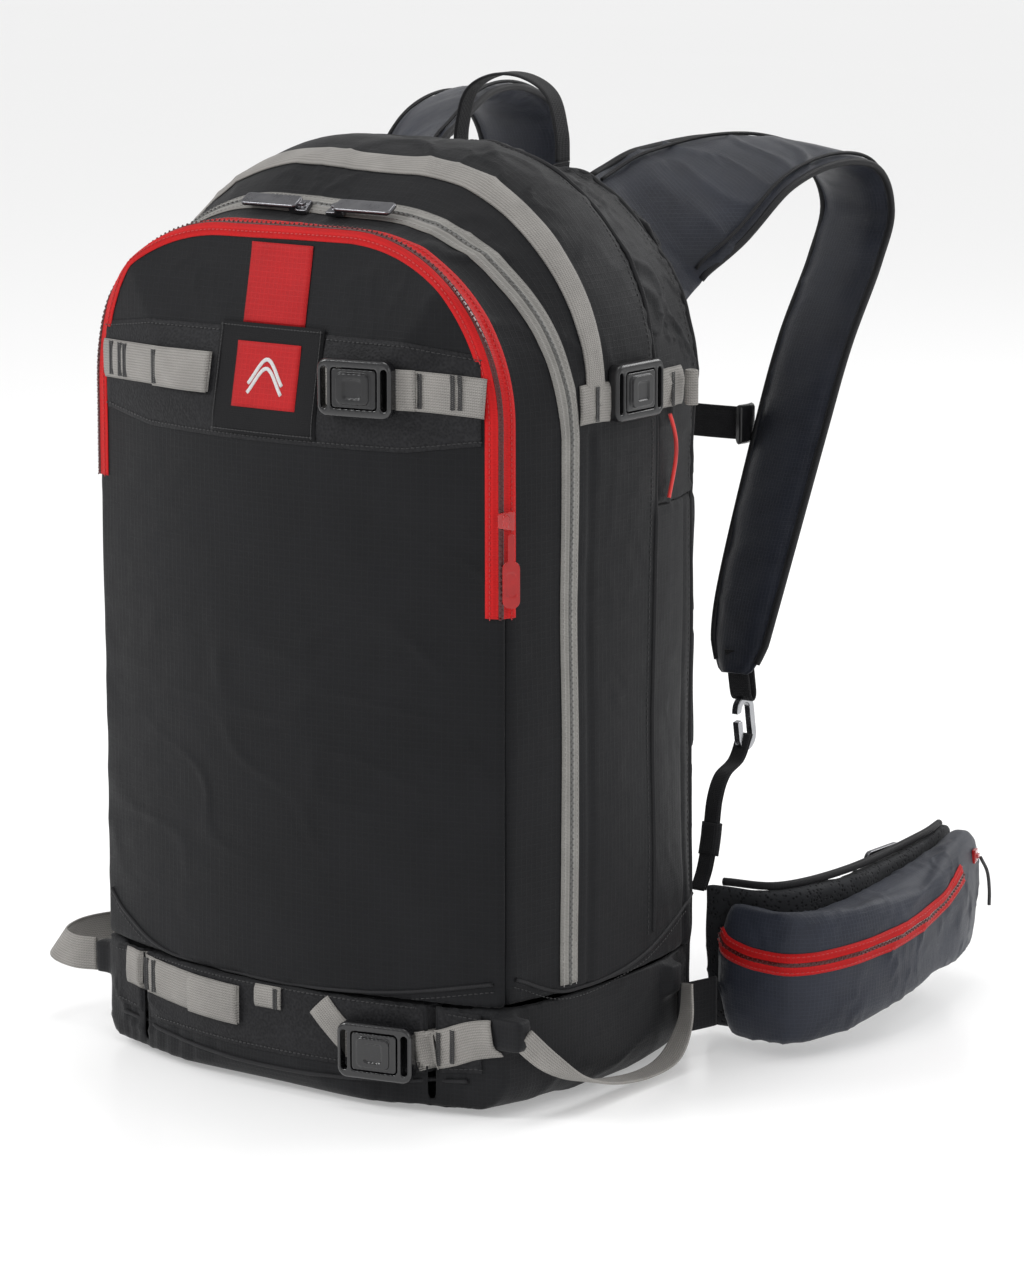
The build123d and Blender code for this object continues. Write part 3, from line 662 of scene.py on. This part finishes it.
def arch_line(half, top, radius, foot_right, foot_left, y=0.0, step=3.0):
    """Points and outward directions, up the right side, over the top and down the left, at one depth."""
    bends = []
    for side, start in ((1, 0), (-1, math.pi / 2)):
        turns = [(math.cos(a), math.sin(a)) for a in np.arange(start, start + math.pi / 2, step / radius)]
        bends.append([(side * (half - radius) + radius * c, top - radius + radius * s, c, s) for c, s in turns])
    rows = [*((half, z, 1, 0) for z in np.arange(foot_right, top - radius, step)), *bends[0],
            *((x, top, 0, 1) for x in np.arange(half - radius, radius - half, -step)), *bends[1],
            *((-half, z, -1, 0) for z in np.arange(top - radius, foot_left, -step))]
    x, z, out_x, out_z = np.array(rows, float).T
    flat = np.zeros(len(x))
    return np.column_stack([x, flat + y, z]), np.column_stack([out_x, flat, out_z])


RED_ZIP = ("red_tape", "dark_coil", "red_thread")
GREY_ZIP = ("grey_tape", "grey_coil", "grey_thread")


def zip_on(name, surface, path, across, out, width, paints, coil, stands_for=(), body="pack", lift=0.3):
    """A zip laid on a surface: its tape, the raised coil along it, and rows of coil teeth."""
    dress(laid(name + "_tape", surface, path, across, out, width, 1.0, lift, 9), paints[0], body, stands_for)
    dress(laid(name + "_coil", surface, path, across, out, coil, 0.7, lift + 0.9, 5), paints[1], body)
    spots, way, side, up = framed(laid_line(surface, path, out, lift + 1.5), out, 1.7)
    flip = np.where(np.arange(len(spots)) % 2, 1.0, -1.0)[:, None]
    teeth = beads(name + "_teeth", spots + side * flip * coil * 0.2, way, side, up, (0.5, coil * 0.26, 0.55))
    dress(teeth, paints[1], body)
    for sign, label in ((1, "a"), (-1, "b")):
        stitch_row(f"{name}_stitch_{label}", surface, path + across * sign * width * 0.36, out, lift + 1.0, 3.0,
                   paints[2], body)


def stitch_row(name, surface, path, out, lift, pitch=3.0, paint="black_thread", body="pack"):
    """A row of lock stitches on the surface."""
    row = beads(name, *framed(laid_line(surface, path, out, lift), out, pitch), (0.95, 0.28, 0.22))
    dress(row, paint, body)


def bartack(name, centre, along, up, length, paint="black_thread", body="pack", rows=2):
    """Dense zigzag bars of thread sewn across a strap. along is the direction that each bar runs."""
    along, up = unit(np.asarray(along, float)), unit(np.asarray(up, float))
    side = np.cross(up, along)
    points = []
    ways = []
    for row in range(rows):
        for k in np.arange(-length / 2, length / 2 + 0.01, 0.55):
            points.append(np.asarray(centre) + along * k + side * (row - (rows - 1) / 2) * 1.6)
            ways.append(unit(side + along * 0.25 * (-1) ** len(points)))
    ups = np.tile(up, (len(points), 1))
    dress(beads(name, points, ways, np.cross(ups, ways), ups, (0.85, 0.28, 0.3)), paint, body)


def make_zips(bag):
    path, ring = arch_line(144.5, 489, 100, 284, 336, -79.0)
    lean = math.radians(42)
    out = unit(ring * math.sin(lean) + FRONT * math.cos(lean))
    across = np.cross(out, unit(np.gradient(path, axis=0)))
    zip_on("front_zip", bag, path, across, out, 17.0, RED_ZIP, 3.0, ["front_zip_tape"])
    path, out = arch_line(152, 512, 120, 70, 70)
    path[:, 1] = -29 - 17 * np.clip((path[:, 2] - 380) / 120, 0, 1)
    across = np.cross(out, unit(np.gradient(path, axis=0)))
    zip_on("main_zip", bag, path, across, out, 14.0, GREY_ZIP, 2.6, ["main_zip_tape"])


# the planes that lines over the front and the sides start in, and the side straps' height
RAY_Y = -90.0
RAY_X = 150
SIDE_WEB_Z = 396.0


def front_path(xs, zs, step=3.0):
    """A line over the front, given by its X and Z, and its across directions."""
    line = curve(np.column_stack(np.broadcast_arrays(xs, RAY_Y, zs)), step)
    return line, np.cross(unit(np.gradient(line, axis=0)), FRONT)


def front_piece(name, front, xs, zs, width, thick, lift, columns, paint, stands_for=(), step=3.0):
    """A flat piece laid on the front."""
    line, across = front_path(xs, zs, step)
    dress(laid(name, front, line, across, FRONT, width, thick, lift, columns), paint, "pack", stands_for)


def make_front_trim(front):
    for label, z, tall, slim in (("upper", 403.5, 61, 50), ("lower", 43, 41, 34)):
        line, across = front_path([-133, -60, 60, 133], z)
        width = slim + (tall - slim) * np.clip((130 - np.abs(line[:, 0])) / 40, 0, 1)
        patch = laid(f"patch_{label}", front, line, across, FRONT, width, 0.9, 0.1, 25)
        dress(patch, "hypalon", "pack", ["strap_patches"] if label == "upper" else ())
        for sign, edge in ((1, "top"), (-1, "foot")):
            path = line + across * (sign * (width / 2 - 2.5))[:, None]
            stitch_row(f"patch_{label}_{edge}_stitch", front, path, FRONT, 1.0)
    front_piece("stripe", front, 0, [436, 460, 481], 44, 0.7, 0.3, 15, "red_ripstop", ["red_stripe"])
    front_piece("badge", front, 0, [376, 406, 437], 74, 0.9, 1.2, 19, "badge_black",
                ["badge_patch"])
    front_piece("badge_square", front, 0, [391, 408, 427], 45, 0.5, 2.1, 15, "red_ripstop")
    for k, zs in enumerate(((399, 413, 399), (404, 418, 404))):
        front_piece(f"badge_peak_{k}", front, [-12, 0, 12], zs, 2.2, 0.4, 2.6, 5, "white_print",
                    step=1.5)
    hems = (([-35, 0, 35], 435), ([-35, 0, 35], 378), (-35, [378, 406, 435]), (35, [378, 406, 435]))
    for k, (xs, zs) in enumerate(hems):
        stitch_row(f"badge_stitch_{k}", front, front_path(xs, zs)[0], FRONT, 2.2, 2.2)


def front_web(name, front, xs, zs, width=WEB_WIDTH, lift=1.2, stands_for=()):
    front_piece(name, front, xs, zs, width, WEB_THICK, lift, 9, "grey_web", stands_for)


def front_tack(name, front, x, z, lift=3.1, length=19):
    rise = front.height(np.array([x, RAY_Y, z]), FRONT)
    bartack(name, np.array([x, RAY_Y - rise - lift, z]), UP, FRONT, length)


def make_front_webs(front):
    front_web("upper_web_left", front, [-134, -90, -41], [407, 408, 408], stands_for=["upper_strap"])
    front_web("upper_web_fold", front, [-84, -60, -41], 408, 22.6, 3.1)
    front_web("upper_web_right", front, [86, 110, 136], [408, 407, 405])
    front_web("upper_web_over", front, [86, 92, 99], 408, 22.4, 3.1)
    front_web("upper_web_stub", front, [38, 44, 51], 408)
    for k, x in enumerate((-126, -117, -82, -112, 101, 119, 123)):
        front_tack(f"upper_tack_{k}", front, x, 408, 5.0 if x == -82 else 3.1)
    front_web("lower_web_left", front, [-121, -90, -60, -20], [51, 49, 47.5, 47], stands_for=["lower_strap"])
    front_web("lower_web_fold", front, [-60, -40, -20], [47.5, 47, 47], 22.6, 3.1)
    front_web("lower_web_tab", front, [-8, 1, 10], 55, 13)
    front_web("lower_web_stub", front, [36, 46, 60], [56, 46, 34], 16)
    front_web("lower_web_right", front, [97, 112, 128, 143], [36, 39, 45, 48])
    front_web("lower_web_over", front, [97, 102, 108], [36, 37, 38], 22.4, 3.1)
    for k, (x, z) in enumerate(((-100, 50), (-93, 50), (-58, 47.5), (7, 55), (110, 39), (118, 41))):
        front_tack(f"lower_tack_{k}", front, x, z, 3.1, 12 if k == 3 else 19)


def make_bag_webs(bag):
    path, out = arch_line(150, 515, 120, 447, 447, -9.0)
    grey_web(laid("top_web", bag, path, [0.0, 1.0, 0.0], out, 15, WEB_THICK, 0.4, 9), "pack", ["top_strap"])
    for side, label in SIDES:
        out = np.array([side, 0, 0])
        for k, (low, high, y) in enumerate(((50, 84, 66), (-22, 3, -10))):
            ends = [(low, SIDE_WEB_Z), ((low + high) / 2, SIDE_WEB_Z + 0.5), (high, SIDE_WEB_Z)]
            line = curve([(side * RAY_X, *end) for end in ends], 2.5)
            web = laid(f"side_web_{label}_{k}", bag, line, UP, out, WEB_WIDTH, WEB_THICK, 0.4, 9)
            grey_web(web, "pack", ["side_straps"] if side > 0 and k == 0 else ())
            rise = bag.height(np.array([side * RAY_X, y, SIDE_WEB_Z]), out)
            bartack(f"side_tack_{label}_{k}", (side * (RAY_X + rise + 2.4), y, SIDE_WEB_Z), UP, out, 19)
        roll = [(side * (163 + 4 * r * math.cos(a)), 78 + 4 * r * math.sin(a), SIDE_WEB_Z)
                for a, r in zip(np.linspace(0, 4 * math.pi, 17), np.linspace(0.25, 1.0, 17))]
        grey_web(strap(f"side_web_roll_{label}", roll, UP, 20, 1.4, 1.5))


def pipe_on(name, surface, path, out, radius, lift=0.2):
    dress(pipe(name, laid_line(surface, path, out, lift), radius), "black_binding", "pack")


def make_seams(bag, front):
    """Piped and stitched seams: two round the bag, and the boot's on the front and the sides."""
    for k, (y, half, top, radius, foot) in enumerate(((52.0, 155, 524, 122, 84), (112.0, 139, 514, 112, 20))):
        path, out = arch_line(half, top, radius, foot, foot, y)
        pipe_on(f"seam_piping_{k}", bag, path, out, 1.5, 0.3)
        stitch_row(f"seam_stitch_{k}", bag, path + (0, -6.0, 0), out, 0.2, 3.4)
    line, _ = front_path([-139, -121, -80, 0, 23, 80, 139], [92, 80, 66, 64.5, 64.5, 68, 78])
    pipe_on("boot_seam_front", front, line, FRONT, 1.2)
    stitch_row("boot_seam_stitch", front, line + (0, 0, -4.5), FRONT, 0.2, 3.2)
    line, _ = front_path([-125, -60, 0, 60, 125], [21, 16, 14, 16, 21])
    pipe_on("boot_foot_seam", front, line, FRONT, 1.3)
    for side, label in SIDES:
        line = curve([(side * RAY_X, y, z) for y, z in ((-70, 80), (-30, 66), (30, 70), (80, 84), (112, 92))], 3)
        out = np.array([side, 0, 0])
        pipe_on(f"boot_seam_{label}", bag, line, out, 1.2)
        stitch_row(f"boot_side_stitch_{label}", bag, line + (0, 0, -4.5), out, 0.2)


# ---- hard parts
BARE = (("frame_sheet", "sheet_plastic"), ("frame_stays", "alloy"), ("inflator_head", "gunmetal"),
        ("firing_pin", "chrome"), ("gas_cylinder", "alloy"), ("trigger_cable", "black_cord"))


def moulded(name, node, voxel, paint, rounds=3, body=None):
    """A hard part with softly rounded moulded edges, in place of its CAD node, on its own body or another."""
    dress(remeshed(name, [node], voxel, rounds), paint, body or node, [node])


def make_hardware():
    moulded("buckle_upper", "upper_buckle_frame", 0.6, "gloss_black", body="pack")
    moulded("buckle_lower", "lower_buckle_frame", 0.6, "gloss_black", body="pack")
    moulded("buckles_side", "side_buckle_frames", 0.6, "black_plastic", body="pack")
    moulded("plate_upper", "upper_buckle_hook", 0.5, "black_plastic")
    moulded("plate_lower", "lower_buckle_hook", 0.5, "gloss_black")
    for _, side in SIDES:
        moulded(f"plate_side_{side}", f"side_buckle_hook_{side}", 0.5, "black_plastic")
        moulded(f"bag_slider_{side}", f"main_zip_slider_{side}", 0.45, "gunmetal", 2)
        moulded(f"hook_{side}", f"strap_hook_{side}", 0.4, "chrome", 6)
        moulded(f"pocket_slider_{side}", f"hip_zip_slider_{side}", 0.35, "red_gloss", 2)
    moulded("zip_slider_red", "front_zip_slider", 0.35, "red_gloss", 2)
    moulded("zip_pull_red", "front_zip_pull", 0.35, "red_rubber")
    moulded("belt_hook", "hip_buckle_hook", 0.6, "gunmetal", body="hip_web_right")
    moulded("belt_loop", "hip_buckle_loop", 0.6, "gunmetal", body="hip_web_left")
    moulded("sternum_socket", "sternum_buckle_female", 0.5, "black_plastic", body="sternum_right")
    moulded("sternum_plug", "sternum_buckle_male", 0.4, "black_plastic", body="sternum_left")
    moulded("trigger_grip", "trigger_handle", 0.6, "red_rubber")
    for node, paint in BARE:
        dress(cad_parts[node], paint)


# ---- loops and cord
def make_loops():
    arch = [(-37, 129, 512.5), (-36, 129, 530), (-29, 129, 551), (-11, 129, 561), (11, 129, 561), (29, 129, 551),
            (36, 129, 530), (37, 129, 512.5)]
    black_web(strap("haul_web", arch, (0, 1, 0), 14), "haul_loop", ["haul_loop"])
    hang = [(160, -80, 50), (164, -62, 34), (168, -40, 20), (168, -8, 10.5), (168, 28, 6.5), (168, 54, 11),
            (167, 70, 28), (165, 75, 49)]
    turn = [(0.35, 0.2, 0.9), (0.6, 0.1, 0.7), (0.9, 0, 0.2), (1, 0, 0), (1, 0, 0), (1, 0.1, 0), (0.9, -0.3, 0.1),
            (0.8, -0.5, 0.1)]
    grey_web(strap("ski_web_right", hang, turn, 14), "ski_loop_right", ["ski_loop_right"])
    bow = [(-162.5, -66, 46), (-178, -69, 46), (-196, -62, 47), (-203, -46, 48), (-199, -24, 48), (-188, 4, 46),
           (-175, 34, 45), (-162.5, 60, 45)]
    turn = [(0, 0, 1), (0.05, 0.1, 1), (0.35, 0.3, 0.8), (0.5, 0.2, 0.8), (0.35, 0, 0.9), (0.1, 0, 1), (0, 0, 1),
            (0, 0, 1)]
    grey_web(strap("ski_web_left", bow, turn, 20), "ski_loop_left", ["ski_loop_left"])
    for x, label in ((-33, "left"), (33, "right")):
        foot = [(x * 1.06, 129, 500), (x * 1.08, 129.2, 508), (x * 1.1, 129, 511.5)]
        black_web(strap(f"haul_tab_{label}", foot, (0, 1, 0), 15, 3.0, 1.5))


SIDE_CORD = [(159, 62, 382), (160, 66, 372), (158.5, 70, 359), (157.5, 68, 346), (157.2, 64, 334)]


def make_side_cord():
    """The short red cord behind the right side buckle, on the line of its CAD tube."""
    data = bpy.data.curves.new("cord_red", "CURVE")
    data.dimensions = "3D"
    spline = data.splines.new("NURBS")
    spline.points.add(len(SIDE_CORD) - 1)
    for point, (x, y, z) in zip(spline.points, SIDE_CORD):
        point.co = (x * MM, y * MM, z * MM, 1)
    spline.order_u = 3
    spline.use_endpoint_u = True
    data.bevel_depth = 1.2 * MM
    data.bevel_resolution = 3
    data.resolution_u = 12
    data.use_fill_caps = True
    obj = placed("cord_red", data)
    dress(obj, "red_cord", "pack", ["side_cord"])


# ---- shoulder straps
# centre, across direction, width, thickness: the right strap from inside the bag's corner to its end
HANG = (0.978, -0.208, 0.0)
STRAP = [
    (94, 110, 466, 0.674, 0, -0.739, 94, 4), (91, 127, 472, 0.67, 0, -0.742, 91, 7),
    (91, 143, 479, 0.66, 0, -0.75, 88, 10), (99, 168, 492, 0.78, 0, -0.62, 87, 11),
    (108, 212, 509, 0.93, -0.1, -0.35, 75, 11), (116, 258, 513, 0.97, -0.15, -0.15, 67, 11),
    (122, 298, 503, *HANG, 62, 11), (124, 315, 477, *HANG, 58, 11), (125, 300, 446, *HANG, 57, 11),
    (126, 266, 400, *HANG, 57, 11), (126, 240, 350, *HANG, 56, 11), (127, 194, 255, *HANG, 50, 10),
    (127, 180, 210, *HANG, 38, 7)]
LEFT_LIFT = [0, 0, 2, 8, 20, 24, 24, 20, 10, 3, 0, 0, 0]
LEFT_SPLAY = [0, 2, 4, 6, 6, 4, 2, 1, 0, 0, 0, 0, 0]


def strap_line(side):
    """The strap's centre line with its across and up directions, widths and thicknesses, for one side."""
    rows = np.array(STRAP, float)
    if side < 0:
        rows[:, 0] += LEFT_SPLAY
        rows[:, 2] += LEFT_LIFT
    rows[:, [0, 3]] *= side
    line = curve(rows, 2.5)
    path = line[:, :3]
    across, up = frames(path, line[:, 3:6])
    return path, across, up * np.sign(up[10, 2]), line[:, 6], line[:, 7]


def pad_profile(width, thick):
    """A padded strap's section: flat webbing edges and a crowned middle."""
    turn = np.linspace(0, 2 * np.pi, 44, endpoint=False)
    x = np.sign(np.cos(turn)) * np.abs(np.cos(turn)) ** 0.55 * width / 2
    share = np.abs(x) / (width / 2)
    swell_up = thick / 2 * (0.34 + 0.66 * np.clip(1 - (share / 0.86) ** 4, 0, 1))
    y = np.sign(np.sin(turn)) * np.abs(np.sin(turn)) ** 0.5 * swell_up
    return np.column_stack([x, y])


def make_shoulder_strap(side, label):
    body = f"shoulder_strap_{label}"
    path, across, up, width, thick = strap_line(side)
    n = len(path)
    s = np.linspace(0, 1, n)
    lower_end = 0.55 + 0.45 * np.clip((1 - s) / 0.035, 0, 1) ** 0.5
    profiles = np.array([pad_profile(w * e, t) for w, e, t in zip(width, lower_end, thick)])

    def wrinkle(points, way):
        local = points * (0.55, 1.0, 1.0)
        top = near(share_of(points, path), 0.2, 0.22)
        return 1.5 * top * creases(local, 42, 71) + 0.35 * waves(points, 40, 72) + 0.5 * creases(points, 30, 73)

    pad = swell(sweep(f"strap_pad_{label}", path, across, up, profiles), wrinkle)
    dress(pad, "satin_navy", None, [body])
    pieces = [pad]
    keep = slice(12, n - 3)
    for k, edge in enumerate((-1, 1)):
        for part, margin, rise, radius in (("rib", 6.5, 0.4, 1.1), ("binding", 0.5, 0.0, 2.2)):
            line = path + across * (edge * (width / 2 - margin) * lower_end)[:, None] + up * (thick * rise)[:, None]
            pieces.append(dress(pipe(f"strap_{part}_{label}_{k}", line[keep], radius, 4.0), "black_binding"))
    for piece in pieces:
        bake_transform(piece)
    marks = ((0.47, 0.0, "red_thread", 12), (0.56, 0.25, "black_thread", 9), (0.60, 0.25, "black_thread", 9))
    for k, (at, shift, paint, length) in enumerate(marks):
        i = int(at * n)
        spot = path[i] + across[i] * shift * width[i] * 0.5 + up[i] * 5.6
        bartack(f"strap_tack_{label}_{k}", spot, across[i] + unit(path[i + 1] - path[i]) * 0.5, up[i], length, paint,
                body, 1)
    loop = [(127, 187, 226), (127.5, 189.5, 208), (128, 190.5, 197), (128, 188, 193.4), (128, 185, 197),
            (127.5, 183, 209), (127, 180, 224)]
    black_web(strap(f"strap_end_loop_{label}", mirrored(side, loop), (1, 0, 0), 15, 1.5, 1.5), body)


def share_of(points, path):
    """How far along the path, 0 to 1, each point is."""
    coarse = path[::6]
    gap = np.linalg.norm(points[:, None] - coarse[None], axis=2)
    return gap.argmin(1) / (len(coarse) - 1)


def make_sternum():
    for side, label in SIDES:
        line = mirrored(side, [(24, 238.2, 350), (40, 236.8, 350), (62, 236.2, 350), (80, 237.4, 350), (93, 239, 350)])
        web = strap(f"sternum_web_{label}", line, UP, 20, 1.6)
        black_web(web, f"sternum_{label}", [f"sternum_strap_{label}"])
        line = mirrored(side, [(94, 232, 350), (95, 239, 350), (94, 246, 350)])
        rail = strap(f"sternum_slider_{label}", line, UP, 24, 4.5, 1.0)
        dress(rail, "black_plastic", f"sternum_{label}")


LOWER_WEB = ((190, 172), (181, 158), (166, 151), (158, 138), (154, 118), (148, 98), (141, 86))


def make_lower_webs():
    """The doubled webbing that holds each metal hook, down to the foot of the back panel."""
    for side, label in SIDES:
        x = side * 128
        for k, shift in enumerate((-1.1, 1.1)):
            web = strap(f"lower_web_{label}_{k}", [(x, y + shift, z) for y, z in LOWER_WEB], (1, 0, 0), 10, 1.3)
            black_web(web, None, ["lower_webbing"] if side > 0 and k == 0 else ())
            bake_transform(web)
        black_web(strap(f"lower_sleeve_{label}", [(x, 155.5, 124), (x, 154, 115), (x, 151.5, 105)], (1, 0, 0), 14, 6))


def make_trigger():
    soft("trigger_pouch_skin", "trigger_pouch", 1.6, 4,
         lambda p, w: 0.7 * creases(p, 20, 81) + 0.3 * waves(p, 25, 82) - 0.3, "satin_navy", "strap_fabric", 0.5,
         "shoulder_strap_left")


# ---- hip belt
def pocket_puff(points, way):
    return (1.5 * creases(points * (1, 0.8, 1.7), 40, 93) + 0.8 * creases(points, 22, 94)
            + 0.5 * waves(points, 60, 95))


# the right pocket in plan: where each rib meets the wing, and how far out it reaches
POCKET_RIBS = [(148, 136, 152, 124), (160, 137, 172, 119), (180, 141, 205, 118), (193, 156, 220, 137),
               (198, 178, 228, 167), (201, 205, 229, 203), (200, 245, 226, 241), (196, 290, 219, 288),
               (190, 322, 211, 321), (185, 342, 201, 343)]


def pocket_form(side, label):
    """A closed pouch along the wing, with soft rounded ribs that shrink at both ends."""
    ribs = curve(np.insert(np.array(POCKET_RIBS, float), 2, 0, axis=1), 4.0)
    n = len(ribs)
    s = np.linspace(-1, 1, n)
    end = np.clip(1 - np.abs(s) ** np.where(s > 0, 10, 40), 0.05, 1) ** 0.5
    near_wing, out = ribs[:, :2], ribs[:, 3:5]
    middle = (near_wing + out) / 2
    low = 5 + (middle[:, 1] - 112) * math.tan(math.radians(4.8))
    turn = np.linspace(0, 2 * np.pi, 44, endpoint=False)
    bulge = np.sign(np.cos(turn)) * np.abs(np.cos(turn)) ** 0.58
    rise = np.sign(np.sin(turn)) * np.abs(np.sin(turn)) ** 0.6
    reach = (out - near_wing) / 2
    xy = middle[:, None] + reach[:, None] * (bulge[None, :, None] * (0.35 + 0.65 * end)[:, None, None])
    half_height = 40
    z = (low + half_height)[:, None] + rise[None] * (half_height * end)[:, None]
    rings = np.concatenate([xy * (side, 1), z[..., None]], axis=2)
    return skin(f"pocket_skin_{label}", rings, half_height * rise)


# the curved zip over the right hip pocket
HIP_ZIP = [(152, 122, 66), (160, 119, 61), (176, 117, 58), (190, 118, 57), (207, 121, 57), (219, 146, 58.5),
           (229, 172, 60.5), (229, 205, 63.5), (226.5, 243, 69), (221, 284, 81)]


def make_hip_side(side, label):
    wing = f"hip_wing_{label}"
    soft(f"wing_pad_{label}", wing, 2.4, 6,
         lambda p, w: 0.7 * waves(p, 60, 91) + 0.9 * creases(p * (1, 1, 1.5), 40, 92), "spacer_black", "panel_foam",
         0.7, wing)
    pocket = pocket_form(side, label)
    inflate(pocket)
    swell(subdivided(pocket), pocket_puff)
    dress(pocket, "slate_pocket", wing, [f"hip_pocket_{label}"])
    line = curve(mirrored(side, HIP_ZIP), 2.5)
    way = unit(np.gradient(line, axis=0))
    out = unit(np.cross(way, UP) * side)
    zip_on(f"hip_zip_{label}", Surface(pocket), line, np.cross(out, way), out, 13.0, RED_ZIP, 2.4, (), wing, 0.2)
    top = [(146, 141, 93.5), (182, 148, 95), (197, 200, 97.5), (192, 285, 99.5), (183, 325, 99)]
    dress(pipe(f"wing_binding_{label}", mirrored(side, top), 2.4), "black_binding", wing)
    fold = [(179, 347), (177, 355), (171, 357.5), (163, 351), (160, 336), (159, 320), (159, 311)]
    web = strap(f"hip_web_strap_{label}", [(side * x, y, 62) for x, y in fold], UP, 37, 2.0, 1.5)
    black_web(web, f"hip_web_{label}", [f"hip_web_{label}"])
    pull = [(213.5, 324, 82), (215, 330, 72), (215, 333, 60), (214.5, 334, 50)]
    tail = pipe(f"pocket_pull_{label}", mirrored(side, pull), 1.1, 2.0)
    dress(tail, "black_cord", f"hip_zip_slider_{label}")
    for k, z in enumerate((22, 34)):
        bartack(f"wing_tack_{label}_{k}", (side * 153, 136.2, z), UP, FRONT, 11, "red_thread", wing, 1)


def make_belt_extras():
    soft("leg_strap_roll", "leg_strap", 1.2, 3, lambda p, w: 0.4 * waves(p, 12, 97) - 0.5, "black_web",
         "black_webbing", 0.6, "hip_wing_left")
    for side, label in SIDES:
        line = mirrored(side, [(155.4, 79.5, 31), (158.5, 90, 31), (162, 103, 31), (163, 108, 31)])
        web = strap(f"stabilizer_{label}", line, UP, 30, 2.0)
        dress(web, "boot_black", "pack", ["hip_stabilizers"] if side > 0 else ())


# ---- stage
TARGET = np.array([116.0, -30.0, 262.0])
CAMERA_TURN, CAMERA_RISE, CAMERA_GAP = math.radians(36), math.radians(11), 2.620
FLOOR_RINGS = (400, 1500, 6000, 40000)


def make_camera():
    turn, rise = CAMERA_TURN, CAMERA_RISE
    back = np.array([math.sin(turn) * math.cos(rise), -math.cos(turn) * math.cos(rise), math.sin(rise)])
    data = bpy.data.cameras.new("camera")
    data.lens = 132.19
    data.sensor_width = 36
    data.clip_end = 200
    camera = placed("camera", data)
    camera.location = Vector(TARGET * MM + back * CAMERA_GAP)
    camera.rotation_euler = Vector(-back).to_track_quat("-Z", "Y").to_euler()
    bpy.context.scene.camera = camera


def make_floor():
    p = Paint("floor_paint", Specular_IOR_Level=0.5, Emission_Color=(1, 1, 1, 1), Emission_Strength=0.3)
    cloud = p.noise(900, 1)
    p.feed(p.shader.inputs["Base Color"], p.colour(cloud, (0.87, 0.87, 0.87), (0.89, 0.89, 0.89)))
    p.feed(p.shader.inputs["Roughness"], 0.25)
    n = 48
    verts = [(r * math.cos(a), r * math.sin(a), 0) for r in FLOOR_RINGS for a in np.linspace(0, 2 * np.pi, n, False)]
    faces = [tuple(range(n))]
    for low in range(0, 3 * n, n):
        faces += band(low, n)
    floor = add_mesh("floor", verts, faces)
    floor.data.materials.append(PAINTS["floor_paint"])


def area(name, place, aim, size, power):
    data = bpy.data.lights.new(name, "AREA")
    data.shape = "RECTANGLE"
    data.size, data.size_y = size
    data.energy = power
    light = placed(name, data)
    light.location = place
    light.rotation_euler = (Vector(aim) - Vector(place)).to_track_quat("-Z", "Y").to_euler()


def make_lights():
    world = bpy.data.worlds.new("world")
    bpy.context.scene.world = world
    world.use_nodes = True
    sky = world.node_tree.nodes["Background"]
    sky.inputs["Color"].default_value = (1, 1, 1, 1)
    sky.inputs["Strength"].default_value = 0.62
    bpy.context.scene.view_settings.view_transform = "Standard"
    area("key", (-1.6, -1.9, 1.9), (0, 0, 0.3), (1.0, 1.4), 38)
    area("fill", (2.6, -1.3, 1.3), (0, 0.1, 0.3), (1.0, 1.6), 9)
    area("rim", (0.9, 2.4, 1.8), (0, 0.1, 0.35), (2.0, 0.8), 32)
    area("top", (0.1, 0.1, 2.6), (0, 0.1, 0.3), (1.2, 1.2), 13)


def make_all():
    make_paints()
    make_camera()
    make_lights()
    make_floor()
    front, bag = make_shells()
    make_zips(bag)
    make_front_trim(front)
    make_front_webs(front)
    make_bag_webs(bag)
    make_seams(bag, front)
    make_hardware()
    make_loops()
    make_side_cord()
    for side, label in SIDES:
        make_shoulder_strap(side, label)
    make_sternum()
    make_lower_webs()
    make_trigger()
    for side, label in SIDES:
        make_hip_side(side, label)
    make_belt_extras()


make_all()
